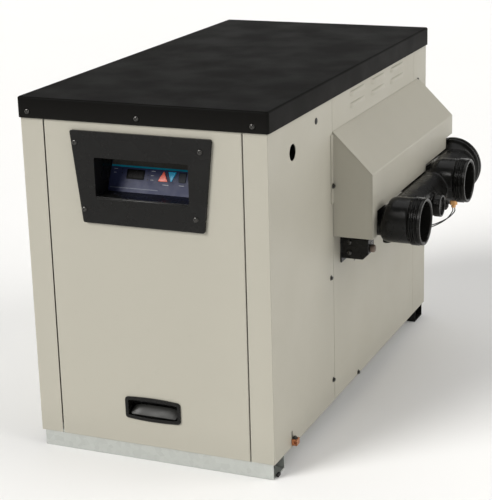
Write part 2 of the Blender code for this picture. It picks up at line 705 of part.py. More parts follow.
def make_header():
    body = piece("header_manifold", turned(
        [(0, TRUNK_FRONT_DEPTH), (TRUNK_RADIUS * 0.8, TRUNK_FRONT_DEPTH),
         (TRUNK_RADIUS, TRUNK_FRONT_DEPTH + 0.008), (TRUNK_RADIUS, TRUNK_STEP_DEPTH),
         (TRUNK_REAR_RADIUS, TRUNK_STEP_DEPTH + TRUNK_STEP_LENGTH),
         (TRUNK_REAR_RADIUS, TRUNK_FLANGE_DEPTH + 0.004),
         (0, TRUNK_FLANGE_DEPTH + 0.004)],
        (0, 1, 0), (x_out(TRUNK_OUT), FRONT_Y, TRUNK_Z)), PLASTIC, smooth=True)
    flange_end = TRUNK_FLANGE_DEPTH + END_FLANGE_THICKNESS
    join(body, rod(header_point(END_FLANGE_OUT, TRUNK_FLANGE_DEPTH, TRUNK_Z),
                   header_point(END_FLANGE_OUT, flange_end, TRUNK_Z), END_FLANGE_RADIUS, 40))
    for depth in PORT_DEPTHS.values():
        join(body, rod(header_point(PORT_ROOT_OUT, depth, PORT_Z),
                       header_point(PORT_SHOULDER_OUT, depth, PORT_Z), PORT_RADIUS, 32))
    for depth in neck_depths():
        join(body, rod(header_point(-0.030, depth, TRUNK_Z), header_point(TRUNK_OUT - 0.003, depth, TRUNK_Z),
                       NECK_RADIUS))
    join(body,
         rod(header_point(TRUNK_OUT - 0.006, BYPASS_DEPTH, BYPASS_Z),
             header_point(BYPASS_OUT, BYPASS_DEPTH, BYPASS_Z), BYPASS_RADIUS),
         rod((*drain_xy(), TRUNK_Z), (*drain_xy(), drain_top()), DRAIN_RADIUS, 20))

    for depth in PORT_DEPTHS.values():
        cut(body, rod(header_point(TRUNK_OUT - 0.004, depth, PORT_Z),
                      header_point(PORT_SHOULDER_OUT + 0.01, depth, PORT_Z), PORT_BORE))
    cut(body, rod(header_point(TRUNK_OUT, PORT_DEPTHS["inlet"] + 0.02, TRUNK_Z),
                  header_point(TRUNK_OUT, flange_end + 0.01, TRUNK_Z), TRUNK_BORE))
    for depth in neck_depths():
        cut(body, rod(header_point(-0.040, depth, TRUNK_Z), header_point(TRUNK_OUT + 0.004, depth, TRUNK_Z),
                      NECK_BORE))
    cut(body,
        rod(header_point(TRUNK_OUT + 0.002, BYPASS_DEPTH, BYPASS_Z),
            header_point(BYPASS_OUT + 0.01, BYPASS_DEPTH, BYPASS_Z), BYPASS_BORE))

    cover = [(0, GAP), (END_FLANGE_RADIUS, GAP), (END_FLANGE_RADIUS, 0.010), (0.050, 0.015), (0.030, 0.019),
             (0, 0.020)]
    piece("header_end_cap", turned(
        cover, (0, 1, 0), header_point(END_FLANGE_OUT, flange_end, TRUNK_Z), 40), PLASTIC, smooth=True)
    for name, depth in PORT_DEPTHS.items():
        make_fitting(name, depth)
    make_bypass()
    make_sensor_fittings()


def make_fitting(name, depth):
    """A threaded tailpiece: a plain barrel, four ridges of thread, a groove and the sealing lip."""
    start = PORT_SHOULDER_OUT + GAP
    thread_start = PORT_OUT - 0.008 - THREAD_TURNS * THREAD_PITCH
    profile = [(PORT_BORE, start), (PORT_RADIUS, start), (PORT_RADIUS, thread_start)]
    for turn in range(THREAD_TURNS):
        at = thread_start + turn * THREAD_PITCH
        profile += [(THREAD_RADIUS, at + 0.30 * THREAD_PITCH), (THREAD_RADIUS, at + 0.65 * THREAD_PITCH),
                    (PORT_RADIUS + 0.0004, at + 0.98 * THREAD_PITCH)]
    profile += [(PORT_RADIUS, PORT_OUT - 0.007), (PORT_RADIUS + 0.0012, PORT_OUT - 0.0055),
                (PORT_RADIUS + 0.0012, PORT_OUT), (PORT_BORE, PORT_OUT)]
    piece(name + "_fitting", turned(
        profile, (1, 0, 0), (SIDE_X, y_at(depth), PORT_Z), 32), PLASTIC, smooth=True)


def make_bypass():
    face = BYPASS_OUT + GAP
    end = face + BYPASS_CAP_LENGTH
    profile = [(0, face + 0.012), (0.006, face + 0.012), (0.006, face), (BYPASS_CAP_RADIUS - 0.002, face),
               (BYPASS_CAP_RADIUS, face + 0.003), (BYPASS_CAP_RADIUS, end), (BYPASS_CAP_RADIUS - 0.005, end),
               (BYPASS_CAP_RADIUS - 0.005, end - 0.005), (0, end - 0.005)]
    piece("bypass_cap", turned(profile, (1, 0, 0), (SIDE_X, y_at(BYPASS_DEPTH), BYPASS_Z)), PLASTIC, smooth=True)
    disc = BYPASS_BORE - 0.0006
    poppet = [(0, -0.012), (disc, -0.012), (disc, -0.006), (0.004, -0.006), (0.004, 0.006), (0, 0.006)]
    origin = header_point(BYPASS_OUT - 0.002, BYPASS_DEPTH, BYPASS_Z)
    piece("bypass_poppet", turned(poppet, (1, 0, 0), origin, 24), BRASS, origin=origin, smooth=True)


def drain_xy():
    return x_out(DRAIN_OUT), y_at(PORT_DEPTHS["outlet"] + DRAIN_SET_BACK)


def drain_top():
    return TRUNK_Z - TRUNK_REAR_RADIUS - 0.004


def sensor_place():
    """The thermowell hangs under the outlet's plain barrel."""
    return x_out(PORT_SHOULDER_OUT) - SENSOR_SET_BACK, y_at(PORT_DEPTHS["outlet"])


def make_sensor_fittings():
    top = drain_top() - GAP
    plug = [(0, 0), (0.0100, 0), (0.0100, -0.006), (0.0060, -0.013), (0, -0.014)]
    piece("drain_plug", turned(plug, (0, 0, 1), (*drain_xy(), top), 20), PLASTIC, smooth=True)

    seat = PORT_Z - PORT_RADIUS - GAP
    well = [(0, seat), (0.0095, seat), (0.0095, seat - 0.0100), (0.0055, seat - 0.0110),
            (0.0055, seat - 0.0170), (0, seat - 0.0170)]
    x, y = sensor_place()
    piece("thermowell", turned(well, (0, 0, 1), (x, y, 0), 6), BRASS)

    grommet_y, grommet_z = grommet_place()
    ring = [(0, GAP), (0.011, GAP), (0.011, 0.003), (0.008, 0.007), (0, 0.007)]
    piece("wire_grommet", turned(ring, (1, 0, 0), (SIDE_X, grommet_y, grommet_z), 20), BLACK_RUBBER, smooth=True)
    make_wires(seat - 0.0170 - GAP)

    switch_top = TRUNK_Z - NECK_RADIUS - 0.003
    mount = [(x_out(GAP), SWITCH_BOTTOM), (x_out(SWITCH_OUT - SWITCH_CHAMFER), SWITCH_BOTTOM),
             (x_out(SWITCH_OUT), SWITCH_BOTTOM + SWITCH_CHAMFER), (x_out(SWITCH_OUT), switch_top),
             (x_out(GAP), switch_top)]
    near, far = SWITCH_DEPTHS
    piece("pressure_switch", prism(mount, "Y", y_at(near), y_at(far)), PLASTIC)
    dial_origin = header_point(SWITCH_OUT + GAP, DIAL_DEPTH, DIAL_Z)
    dial = [(0, 0), (DIAL_RADIUS, 0), (DIAL_RADIUS, 0.008), (DIAL_RADIUS - 0.0015, 0.010), (0, 0.010)]
    piece("pressure_dial", turned(dial, (1, 0, 0), dial_origin, 20), DIAL_GREY, origin=dial_origin, smooth=True)

    lug_y = y_at(LUG_DEPTH)
    lug = piece("bonding_lug", box((x_out(GAP), lug_y - 0.008, LUG_Z - 0.007),
                                   (x_out(LUG_OUT), lug_y + 0.008, LUG_Z + 0.007)), COPPER)
    wire_x = x_out(LUG_OUT - 0.0045)
    cut(lug, rod((wire_x, lug_y - 0.02, LUG_Z), (wire_x, lug_y + 0.02, LUG_Z), LUG_BORE, 16))


def grommet_place():
    return y_at(GROMMET_DEPTH), GROMMET_Z


def make_wires(top):
    """Two thin sensor leads that sag from the thermowell to the grommet in the side panel."""
    x, y = sensor_place()
    grommet_y, grommet_z = grommet_place()
    for name, side, sag in (("upper", 0.0025, 0.030), ("lower", -0.0025, 0.036)):
        start = Vector((x + side, y, top))
        end = Vector((x_out(0.007 + GAP), grommet_y, grommet_z + side))
        route = [start, start + Vector((0, 0, -0.010)),
                 Vector((x - 0.012 + side, y - 0.020, top - sag * 0.75)),
                 Vector((x - 0.040 + side, y - 0.055, top - sag * 1.05)),
                 Vector((x - 0.075 + side, y - 0.085, top - sag * 1.02)),
                 Vector((x_out(0.050), grommet_y + 0.012, grommet_z - 0.016 + 2 * side)),
                 end + Vector((0.018, 0, -0.001 + side / 2)), end]
        points = smooth_line(route, 0.0075)
        curve = bpy.data.curves.new("sensor_wire_" + name, "CURVE")
        curve.dimensions = "3D"
        curve.bevel_depth = WIRE_RADIUS
        curve.bevel_resolution = 2
        curve.use_fill_caps = True
        spline = curve.splines.new("POLY")
        spline.points.add(len(points) - 1)
        for target, point in zip(spline.points, points):
            target.co = (*point, 1.0)
        made = bpy.data.objects.new("sensor_wire_" + name, curve)
        bpy.context.collection.objects.link(made)
        curve.materials.append(bpy.data.materials.get(BLACK_RUBBER[0]) or material(*BLACK_RUBBER))


def smooth_line(route, spacing):
    """Evenly spaced points along a Catmull-Rom curve through the route."""
    dense = []
    ends = [2 * route[0] - route[1]] + route + [2 * route[-1] - route[-2]]
    for i in range(1, len(ends) - 2):
        a, b, c, d = ends[i - 1:i + 3]
        for k in range(24):
            t = k / 24
            dense.append(0.5 * (2 * b + (c - a) * t + (2 * a - 5 * b + 4 * c - d) * t * t
                                + (3 * b - a - 3 * c + d) * t ** 3))
    dense.append(route[-1])
    lengths = [0.0]
    for a, b in zip(dense, dense[1:]):
        lengths.append(lengths[-1] + (b - a).length)
    count = max(2, round(lengths[-1] / spacing))
    points = []
    k = 0
    for i in range(count + 1):
        want = lengths[-1] * i / count
        while k < len(dense) - 2 and lengths[k + 1] < want:
            k += 1
        share = (want - lengths[k]) / (lengths[k + 1] - lengths[k])
        points.append(dense[k].lerp(dense[k + 1], min(1.0, share)))
    return points


# ---------------------------------------------------------------- gas train and blower
def inside_corners(corners):
    return [Vector((x, y_at(depth), z)) for x, depth, z in corners]


def valve_box():
    """Low and high corners of the gas valve, in the front compartment."""
    return inside_corners(VALVE_CORNERS)


def feed_x():
    low, high = valve_box()
    return (low.x + high.x) / 2


def feed_z():
    low, high = valve_box()
    return (low.z + high.z) / 2 - 0.010


def make_gas_train():
    low, high = valve_box()
    piece("gas_valve", box(low, high), ZINC)
    knob_origin = Vector((feed_x(), (low.y + high.y) / 2, high.z + GAP))
    knob = piece("gas_valve_knob", turned(
        [(0, 0), (0.016, 0), (0.014, 0.011), (0, 0.011)], (0, 0, 1), knob_origin, 24),
        RED_KEY, origin=knob_origin, smooth=True)
    join(knob, moved(box((-0.017, -0.003, 0.004), (0.017, 0.003, 0.016)), knob_origin))

    start = Vector((high.x + GAP, y_at(GAS_HOLE_DEPTH), GAS_HOLE_Z))
    length = SIDE_X - GAS_PIPE_SET_BACK - start.x
    pipe = [(GAS_PIPE_BORE, 0.0), (GAS_PIPE_RADIUS, 0.0), (GAS_PIPE_RADIUS, length), (GAS_PIPE_BORE, length)]
    piece("gas_inlet_pipe", turned(pipe, (1, 0, 0), start), CAST_IRON, smooth=True)
    start = Vector((feed_x(), high.y + GAP, feed_z()))
    finish = Vector((feed_x(), y_at(SIDE_SEAM_DEPTH + 0.040), feed_z()))
    piece("burner_feed_pipe", rod(start, finish, FEED_PIPE_RADIUS, 20), CAST_IRON, smooth=True)
    piece("transformer", box(*inside_corners(TRANSFORMER_CORNERS)), CAST_IRON)


def blower_mouth():
    """Left, right, low and high edges of the blower's outlet."""
    half = BLOWER_WIDTH / 2 - 0.006
    return -half, half, BLOWER_AXIS_Z + 0.045, BLOWER_AXIS_Z + BLOWER_RADIUS - 0.006


def make_blower():
    axis_y, axis_z = y_at(BLOWER_AXIS_DEPTH), BLOWER_AXIS_Z
    half = BLOWER_WIDTH / 2
    housing = piece("blower_housing", rod(
        (-half, axis_y, axis_z), (half, axis_y, axis_z), BLOWER_RADIUS), PLASTIC, smooth=True)
    left, right, low, high = blower_mouth()
    wall = BLOWER_WALL
    reach = y_at(SIDE_SEAM_DEPTH) + 0.004 - GAP
    join(housing, box((left - wall, axis_y, low - wall), (right + wall, reach, high + wall)))
    cut(housing,
        rod((-half + wall, axis_y, axis_z), (half - wall, axis_y, axis_z), BLOWER_RADIUS - wall),
        box((left, axis_y, low), (right, reach + 0.01, high)),
        rod((half - 0.01, axis_y, axis_z), (half + 0.01, axis_y, axis_z), INTAKE_RADIUS),
        rod((-half - 0.01, axis_y, axis_z), (-half + 0.01, axis_y, axis_z), SHAFT_BORE + 0.0005, 20))
    make_blower_wheel(axis_y, axis_z, half - wall - 0.004)
    piece("blower_motor", rod(
        (-half - GAP, axis_y, axis_z), (-half - MOTOR_LENGTH, axis_y, axis_z), MOTOR_RADIUS), ZINC, smooth=True)
    cut(bpy.data.objects["blower_motor"],
        rod((-half + 0.01, axis_y, axis_z), (-half - 0.030, axis_y, axis_z), SHAFT_BORE, 20))


def make_blower_wheel(axis_y, axis_z, half):
    """A squirrel cage: a backplate and hub on the motor's shaft, straight blades and an end ring."""
    origin = Vector((0, axis_y, axis_z))
    wheel = piece("blower_wheel", rod(
        (-half, axis_y, axis_z), (-half + 0.003, axis_y, axis_z), WHEEL_RADIUS), ZINC, origin=origin)
    join(wheel, rod(origin - Vector((half + 0.028, 0, 0)), origin - Vector((half - 0.020, 0, 0)), SHAFT_RADIUS, 16))
    ring = [(WHEEL_RADIUS - 0.012, half - 0.003), (WHEEL_RADIUS, half - 0.003),
            (WHEEL_RADIUS, half), (WHEEL_RADIUS - 0.012, half)]
    join(wheel, turned(ring, (1, 0, 0), origin))
    for k in range(WHEEL_BLADES):
        blade = box((-half + 0.002, -0.001, WHEEL_RADIUS - 0.011), (half - 0.001, 0.001, WHEEL_RADIUS - 0.001))
        blade.transform(Matrix.Rotation(2 * math.pi * k / WHEEL_BLADES, 4, "X"))
        join(wheel, moved(blade, origin))


# ---------------------------------------------------------------- fire side
def chamber_box():
    return (Vector((-0.205, y_at(SIDE_SEAM_DEPTH + 0.045), BASE_HEIGHT + 0.020)),
            Vector((0.185, y_at(REAR_SEAM_DEPTH - 0.070), TUBE_Z - FIN_RADIUS - 0.006)))


def make_fire_side():
    low, high = chamber_box()
    wall = CHAMBER_WALL
    chamber = piece("combustion_chamber", box(low, high), REFRACTORY)
    cut(chamber, box(low + Vector((wall, wall, wall)), high + Vector((-wall, -wall, 0.01))))
    inset = wall + TRAY_CLEARANCE
    tray_low = low + Vector((inset, inset, wall + GAP))
    tray_high = Vector((high.x - inset, high.y - inset, tray_low.z + TRAY_HEIGHT))
    tray = piece("burner_tray", box(tray_low, tray_high), ZINC)
    skin = Vector((SHEET, SHEET, SHEET))
    cut(tray, box(tray_low + skin, tray_high + Vector((-SHEET, -SHEET, SHEET))))

    sheet_x = SIDE_X - 0.055
    sheet_low, sheet_high = TUBE_Z - 0.045, TUBE_Z + 0.045
    sheet_front, sheet_rear = low.y, high.y
    tube_sheet = piece("tube_sheet", box((sheet_x, sheet_front, sheet_low),
                                         (sheet_x + 0.012, sheet_rear, sheet_high)), CAST_IRON)
    cut(tube_sheet, *(rod((sheet_x - 0.02, y_at(d), TUBE_Z), (sheet_x + 0.03, y_at(d), TUBE_Z), NECK_BORE)
                      for d in neck_depths()))
    piece("return_header", box((-SIDE_X + 0.012, sheet_front, sheet_low),
                               (low.x - 0.012, sheet_rear, sheet_high)), CAST_IRON)
    make_tubes(low.x - 0.012 + GAP, sheet_x - GAP)

    flue_low = TUBE_Z + FIN_RADIUS + 0.012
    flue = piece("flue_collector", box((low.x, low.y, flue_low), (high.x, high.y, EXHAUST_Z + 0.080)), ZINC)
    cut(flue,
        box((low.x + SHEET, low.y + SHEET, flue_low - 0.01), (high.x - SHEET, high.y - SHEET, EXHAUST_Z + 0.078)),
        rod((0, high.y - 0.02, EXHAUST_Z), (0, high.y + 0.02, EXHAUST_Z), EXHAUST_RADIUS + GAP, 40))
    start, end = high.y - SHEET / 2, BACK_Y + LID_OVERHANG - 0.001
    bore = EXHAUST_RADIUS - 0.004
    collar = [(bore, start), (EXHAUST_RADIUS, start), (EXHAUST_RADIUS, end), (bore, end)]
    piece("exhaust_collar", turned(collar, (0, 1, 0), (0, 0, EXHAUST_Z), 40), ZINC, smooth=True)


def make_tubes(left, right):
    """Finned tubes that carry the water across above the fire."""
    first, last = neck_depths()
    length = right - left
    for k in range(TUBE_COUNT):
        depth = first + (last - first) * k / (TUBE_COUNT - 1)
        profile = [(0, 0), (TUBE_RADIUS, 0)]
        pitch = (length - 0.020) / FIN_COUNT
        for fin in range(FIN_COUNT):
            at = 0.010 + pitch * (fin + 0.35)
            profile += [(TUBE_RADIUS, at), (FIN_RADIUS, at), (FIN_RADIUS, at + 0.010), (TUBE_RADIUS, at + 0.010)]
        profile += [(TUBE_RADIUS, length), (0, length)]
        name = "exchanger_tube_" + str(k + 1)
        piece(name, turned(profile, (1, 0, 0), (left, y_at(depth), TUBE_Z), 12), COPPER, smooth=True)


def clear_scene():
    for old in list(bpy.data.objects):
        bpy.data.objects.remove(old, do_unlink=True)


def main():
    clear_scene()
    make_base()
    make_cabinet()
    make_lid()
    make_door()
    make_hood()
    make_header()
    make_gas_train()
    make_blower()
    make_fire_side()


main()
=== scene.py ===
"""The looks of a low-profile gas pool heater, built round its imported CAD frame.

Everything is in metres in the frame's own axes: the front faces -Y, +Z is up and the water header
stands out on +X.
"""

import json
import math

import bmesh
import bpy
from mathutils import Matrix, Vector

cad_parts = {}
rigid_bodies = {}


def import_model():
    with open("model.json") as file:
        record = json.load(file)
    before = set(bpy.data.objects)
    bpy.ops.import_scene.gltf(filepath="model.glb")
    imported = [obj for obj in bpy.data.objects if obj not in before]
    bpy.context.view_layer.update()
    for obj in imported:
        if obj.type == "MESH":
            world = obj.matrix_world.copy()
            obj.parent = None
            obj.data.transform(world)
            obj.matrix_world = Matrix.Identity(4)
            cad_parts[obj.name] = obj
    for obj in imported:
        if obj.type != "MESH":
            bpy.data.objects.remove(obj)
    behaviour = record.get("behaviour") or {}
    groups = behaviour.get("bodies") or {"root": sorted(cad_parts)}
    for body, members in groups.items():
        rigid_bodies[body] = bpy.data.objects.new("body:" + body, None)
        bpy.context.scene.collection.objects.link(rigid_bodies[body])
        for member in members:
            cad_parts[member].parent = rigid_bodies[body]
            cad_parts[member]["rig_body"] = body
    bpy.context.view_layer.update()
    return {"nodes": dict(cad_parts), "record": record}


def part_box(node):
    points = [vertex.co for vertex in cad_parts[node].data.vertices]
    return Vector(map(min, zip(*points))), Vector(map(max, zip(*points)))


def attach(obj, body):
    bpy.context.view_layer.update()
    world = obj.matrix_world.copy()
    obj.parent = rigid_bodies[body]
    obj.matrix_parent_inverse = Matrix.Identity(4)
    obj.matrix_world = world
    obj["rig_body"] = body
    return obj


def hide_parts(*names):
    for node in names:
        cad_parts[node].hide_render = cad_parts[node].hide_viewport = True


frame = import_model()
NODES = frame["nodes"]
SIDE_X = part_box("side_panel_right_rear")[1].x        # the right-hand side's outer face
FRONT_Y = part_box("side_panel_left")[0].y             # the cabinet's front face
PROUD = 0.0001                                       # what lies on a face stands this far off it


def middle(node):
    """The middle of a node's box."""
    low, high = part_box(node)
    return tuple((a + b) / 2 for a, b in zip(low, high))


# ---------------------------------------------------------------- camera
IMAGE_LONG_SIDE = 500
SENSOR = 36.0
CAMERA_PLACE = (1.3153, -3.0378, 1.3413)
CAMERA_YAW = math.radians(22.54)          # turned left of straight ahead
CAMERA_PITCH = math.radians(16.39)        # tilted down
CAMERA_ROLL = math.radians(-1.29)
FOCAL_LENGTH_PIXELS = 1480.9
CAMERA_SHIFT = 0.05


def make_camera():
    forward = Vector((-math.sin(CAMERA_YAW) * math.cos(CAMERA_PITCH),
                      math.cos(CAMERA_YAW) * math.cos(CAMERA_PITCH), -math.sin(CAMERA_PITCH)))
    level = Vector((math.cos(CAMERA_YAW), math.sin(CAMERA_YAW), 0))
    upright = level.cross(forward)
    right = level * math.cos(CAMERA_ROLL) + upright * math.sin(CAMERA_ROLL)
    up = upright * math.cos(CAMERA_ROLL) - level * math.sin(CAMERA_ROLL)
    data = bpy.data.cameras.new("camera")
    data.sensor_width = SENSOR
    data.lens = FOCAL_LENGTH_PIXELS * SENSOR / IMAGE_LONG_SIDE
    data.shift_x = data.shift_y = -CAMERA_SHIFT
    camera = bpy.data.objects.new("camera", data)
    turn = Matrix((right, up, -forward)).transposed().to_4x4()
    camera.matrix_world = Matrix.Translation(CAMERA_PLACE) @ turn
    bpy.context.scene.collection.objects.link(camera)
    bpy.context.scene.camera = camera


# ---------------------------------------------------------------- materials
MIX_COLOUR_INPUTS = (0, 6, 7)             # a Mix node's factor and its two colour sockets
MIX_COLOUR_OUTPUT = 2


class Look:
    """A Principled material, with short ways to add the procedural detail that varies it."""

    def __init__(self, name, colour, roughness, metallic=0.0, specular=0.5):
        self.material = bpy.data.materials.new(name)
        self.material.use_nodes = True
        self.tree = self.material.node_tree
        self.shader = self.tree.nodes["Principled BSDF"]
        self.colour = colour
        self.shader.inputs["Base Color"].default_value = (*colour, 1.0)
        self.shader.inputs["Roughness"].default_value = roughness
        self.shader.inputs["Metallic"].default_value = metallic
        self.shader.inputs["Specular IOR Level"].default_value = specular
        self.place = self.add("ShaderNodeTexCoord").outputs["Object"]
        self.normal = None

    def add(self, kind, **values):
        node = self.tree.nodes.new(kind)
        for name, value in values.items():
            setattr(node, name, value)
        return node

    def stretched(self, scale):
        node = self.add("ShaderNodeMapping")
        node.inputs["Scale"].default_value = scale
        self.tree.links.new(self.place, node.inputs["Vector"])
        return node.outputs["Vector"]

    def noise(self, scale, detail=3.0, stretch=None):
        node = self.add("ShaderNodeTexNoise")
        node.inputs["Scale"].default_value = scale
        node.inputs["Detail"].default_value = detail
        self.tree.links.new(self.stretched(stretch) if stretch else self.place, node.inputs["Vector"])
        return node.outputs["Fac"]

    def cells(self, scale, output="Color"):
        node = self.add("ShaderNodeTexVoronoi")
        node.inputs["Scale"].default_value = scale
        self.tree.links.new(self.place, node.inputs["Vector"])
        return node.outputs[output]

    def height(self):
        node = self.add("ShaderNodeSeparateXYZ")
        self.tree.links.new(self.place, node.inputs["Vector"])
        return node.outputs["Z"]

    def spread(self, value, low, high, out_low=0.0, out_high=1.0):
        node = self.add("ShaderNodeMapRange", interpolation_type="SMOOTHSTEP")
        reach = {"From Min": low, "From Max": high, "To Min": out_low, "To Max": out_high}
        for socket, number in reach.items():
            node.inputs[socket].default_value = number
        self.tree.links.new(value, node.inputs["Value"])
        return node.outputs["Result"]

    def tint(self, factor, shade):
        """Mix the colour so far towards shade by a factor."""
        node = self.add("ShaderNodeMix", data_type="RGBA")
        share, start, end = (node.inputs[i] for i in MIX_COLOUR_INPUTS)
        base = self.shader.inputs["Base Color"]
        if base.is_linked:
            self.tree.links.new(base.links[0].from_socket, start)
        else:
            start.default_value = (*self.colour, 1.0)
        end.default_value = (*shade, 1.0)
        self.tree.links.new(factor, share)
        self.tree.links.new(node.outputs[MIX_COLOUR_OUTPUT], base)
        return self

    def mottle(self, scale, detail, low, high, amount, factor):
        """Soft patches where the colour so far turns towards the base colour times a factor."""
        patches = self.spread(self.noise(scale, detail), low, high, 0.0, amount)
        return self.tint(patches, scaled(self.colour, factor))

    def rough(self, factor, low, high, from_low=0.3, from_high=0.7):
        varied = self.spread(factor, from_low, from_high, low, high)
        self.tree.links.new(varied, self.shader.inputs["Roughness"])
        return self

    def bump(self, height, distance, strength=1.0):
        node = self.add("ShaderNodeBump")
        node.inputs["Strength"].default_value = strength
        node.inputs["Distance"].default_value = distance
        self.tree.links.new(height, node.inputs["Height"])
        if self.normal:
            self.tree.links.new(self.normal, node.inputs["Normal"])
        self.normal = node.outputs["Normal"]
        self.tree.links.new(self.normal, self.shader.inputs["Normal"])
        return self

    def wear_and_edge_highlight(self, shade, amount=0.5):
        """Lighter or darker along the convex edges: partly wear where hands and tools reach, partly a
        painted highlight where the edges catch the light.
        """
        edge = self.add("ShaderNodeNewGeometry").outputs["Pointiness"]
        return self.tint(self.spread(edge, 0.52, 0.62, 0.0, amount), shade)


def scaled(colour, factor):
    return tuple(min(1.0, c * factor) for c in colour)


def paint(name, colour, roughness):
    look = Look(name, colour, roughness, specular=0.35)
    look.mottle(2.2, 4, 0.35, 0.7, 0.35, 0.95)
    look.mottle(46, 6, 0.62, 0.80, 0.22, 0.86)
    # darker towards the bottom, below about 0.11 m
    look.tint(look.spread(look.height(), 0.030, 0.110, 0.30, 0.0), scaled(colour, 0.80))
    look.rough(look.noise(7, 4), roughness - 0.05, roughness + 0.07)
    look.bump(look.noise(620, 2), 0.00010, 0.35)
    look.bump(look.noise(5.5, 2), 0.00150, 0.20)
    # lighter along the edges: some wear, and a painted highlight
    return look.wear_and_edge_highlight(scaled(colour, 1.10), 0.35)


LID_IOR = 1.17                            # low, so that the black doesn't whiten at a shallow angle


def powder_coat(name, colour):
    look = Look(name, colour, 0.50, specular=0.20)
    look.shader.inputs["IOR"].default_value = LID_IOR
    look.mottle(3.0, 5, 0.40, 0.75, 0.5, 1.25)
    look.mottle(230, 2, 0.55, 0.8, 0.5, 1.5)
    look.rough(look.noise(9, 5), 0.44, 0.54)
    look.bump(look.noise(900, 2), 0.00012, 0.55)
    # much lighter along the edges: some wear, and a painted highlight on the black
    return look.wear_and_edge_highlight(scaled(colour, 3.0), 0.5)


def galvanised(name, colour):
    look = Look(name, colour, 0.42, metallic=0.75)
    look.tint(look.spread(look.cells(95), 0.15, 0.95, 0.0, 0.40), scaled(colour, 0.84))
    look.mottle(11, 6, 0.45, 0.8, 0.4, 0.88)
    look.rough(look.cells(95), 0.30, 0.52, 0.1, 0.9)
    look.bump(look.cells(95, "Distance"), 0.0002, 0.25)
    return look.bump(look.noise(160, 4), 0.0002, 0.25)


def moulded(name, colour, roughness=0.25, specular=0.20):
    look = Look(name, colour, roughness, specular=specular)
    look.mottle(14, 5, 0.45, 0.8, 0.5, 1.6)
    look.rough(look.noise(26, 5), roughness - 0.07, roughness + 0.12)
    look.bump(look.noise(1100, 2), 0.00008, 0.45)
    look.bump(look.noise(42, 3), 0.0006, 0.10)
    # much lighter along the edges: some wear, and a painted highlight on the black
    return look.wear_and_edge_highlight(scaled(colour, 2.8), 0.5)


def film(name, colour, specular=0.08):
    look = Look(name, colour, 0.30, specular=specular)
    look.mottle(30, 4, 0.40, 0.8, 0.35, 1.35)
    look.rough(look.noise(60, 4), 0.24, 0.34)
    return look.bump(look.noise(1500, 2), 0.00004, 0.5)


def metal(name, colour, roughness):
    look = Look(name, colour, roughness, metallic=1.0)
    look.mottle(60, 5, 0.42, 0.75, 0.6, 0.55)
    look.rough(look.noise(90, 5), roughness - 0.06, roughness + 0.16)
    return look.bump(look.noise(420, 3, (1.0, 9.0, 1.0)), 0.0001, 0.4)


def cast(name, colour):
    look = Look(name, colour, 0.62, metallic=0.35)
    look.tint(look.spread(look.noise(35, 6), 0.50, 0.75, 0.0, 0.5), (0.13, 0.075, 0.045))
    look.rough(look.noise(50, 5), 0.50, 0.78)
    return look.bump(look.noise(520, 4), 0.0005, 0.6)


def fibre_board(name, colour):
    look = Look(name, colour, 0.92)
    look.mottle(18, 6, 0.40, 0.75, 0.6, 0.62)
    look.rough(look.noise(40, 4), 0.85, 1.0)
    return look.bump(look.noise(300, 5, (1.0, 1.0, 7.0)), 0.0012, 0.7)


def rubber(name, colour):
    look = Look(name, colour, 0.62)
    look.mottle(70, 5, 0.45, 0.75, 0.6, 2.2)
    look.rough(look.noise(120, 4), 0.52, 0.75)
    return look.bump(look.noise(800, 3), 0.0001, 0.5)


def circuit(name, colour):
    look = Look(name, colour, 0.40)
    look.tint(look.spread(look.cells(240, "Distance"), 0.30, 0.42, 0.0, 0.7), scaled(colour, 2.2))
    look.rough(look.noise(90, 3), 0.32, 0.5)
    return look.bump(look.cells(240, "Distance"), 0.0002, 0.3)


BEIGE = (0.430, 0.412, 0.349)
BLACK = (0.0062, 0.0060, 0.0055)
LOOKS = {
    "painted_steel": paint("beige_paint", BEIGE, 0.46),
    "lid_paint": powder_coat("black_powder_coat", (0.0050, 0.0048, 0.0044)),
    "galvanised": galvanised("zinc_sheet", (0.56, 0.58, 0.555)),
    "black_plastic": moulded("black_moulding", BLACK),
    "keypad_film": film("keypad_film", (0.028, 0.034, 0.082)),
    "display_lens": film("display_lens", (0.0022, 0.0020, 0.0021), 0.03),
    "red_key": moulded("red_key", (0.86, 0.115, 0.065)),
    "cyan_key": moulded("cyan_key", (0.006, 0.350, 0.640)),
    "grey_key": moulded("grey_key", (0.017, 0.019, 0.023), 0.45, 0.10),
    "circuit_board": circuit("circuit_board", (0.015, 0.13, 0.045)),
    "brass": metal("brass", (0.64, 0.36, 0.16), 0.30),
    "copper": metal("copper", (0.66, 0.27, 0.13), 0.28),
    "black_rubber": rubber("black_rubber", (0.012, 0.012, 0.012)),
    "cast_iron": cast("cast_iron", (0.045, 0.045, 0.045)),
    "refractory": fibre_board("refractory_board", (0.62, 0.58, 0.50)),
    "black_screw": metal("black_screw", (0.085, 0.083, 0.079), 0.24),
    "dial_grey": moulded("dial_grey", (0.17, 0.13, 0.105), 0.45),
}
STRIPE = film("stripe_cyan", (0.006, 0.230, 0.350)).material
BAND = film("band_grey", (0.060, 0.058, 0.052)).material
MARKS = film("pale_marks", (0.50, 0.52, 0.57)).material
RULE = film("rule_grey", (0.135, 0.150, 0.200)).material
# the pull lining's black plastic, painted lighter: a painted sheen where the pocket floor catches the light
PULL_PAINTED_SHEEN = moulded("pull_painted_sheen", (0.015, 0.015, 0.014), 0.30).material
SEGMENTS = film("unlit_segments", (0.0085, 0.0070, 0.0072)).material


def dress_nodes():
    """Every CAD node takes the procedural material of its record slot."""
    for entry in frame["record"]["subparts"]:
        data = NODES[entry["node"]].data
        if not data.materials:
            data.materials.append(None)
        for index in range(len(data.materials)):
            data.materials[index] = LOOKS[entry["material_slot"]].material


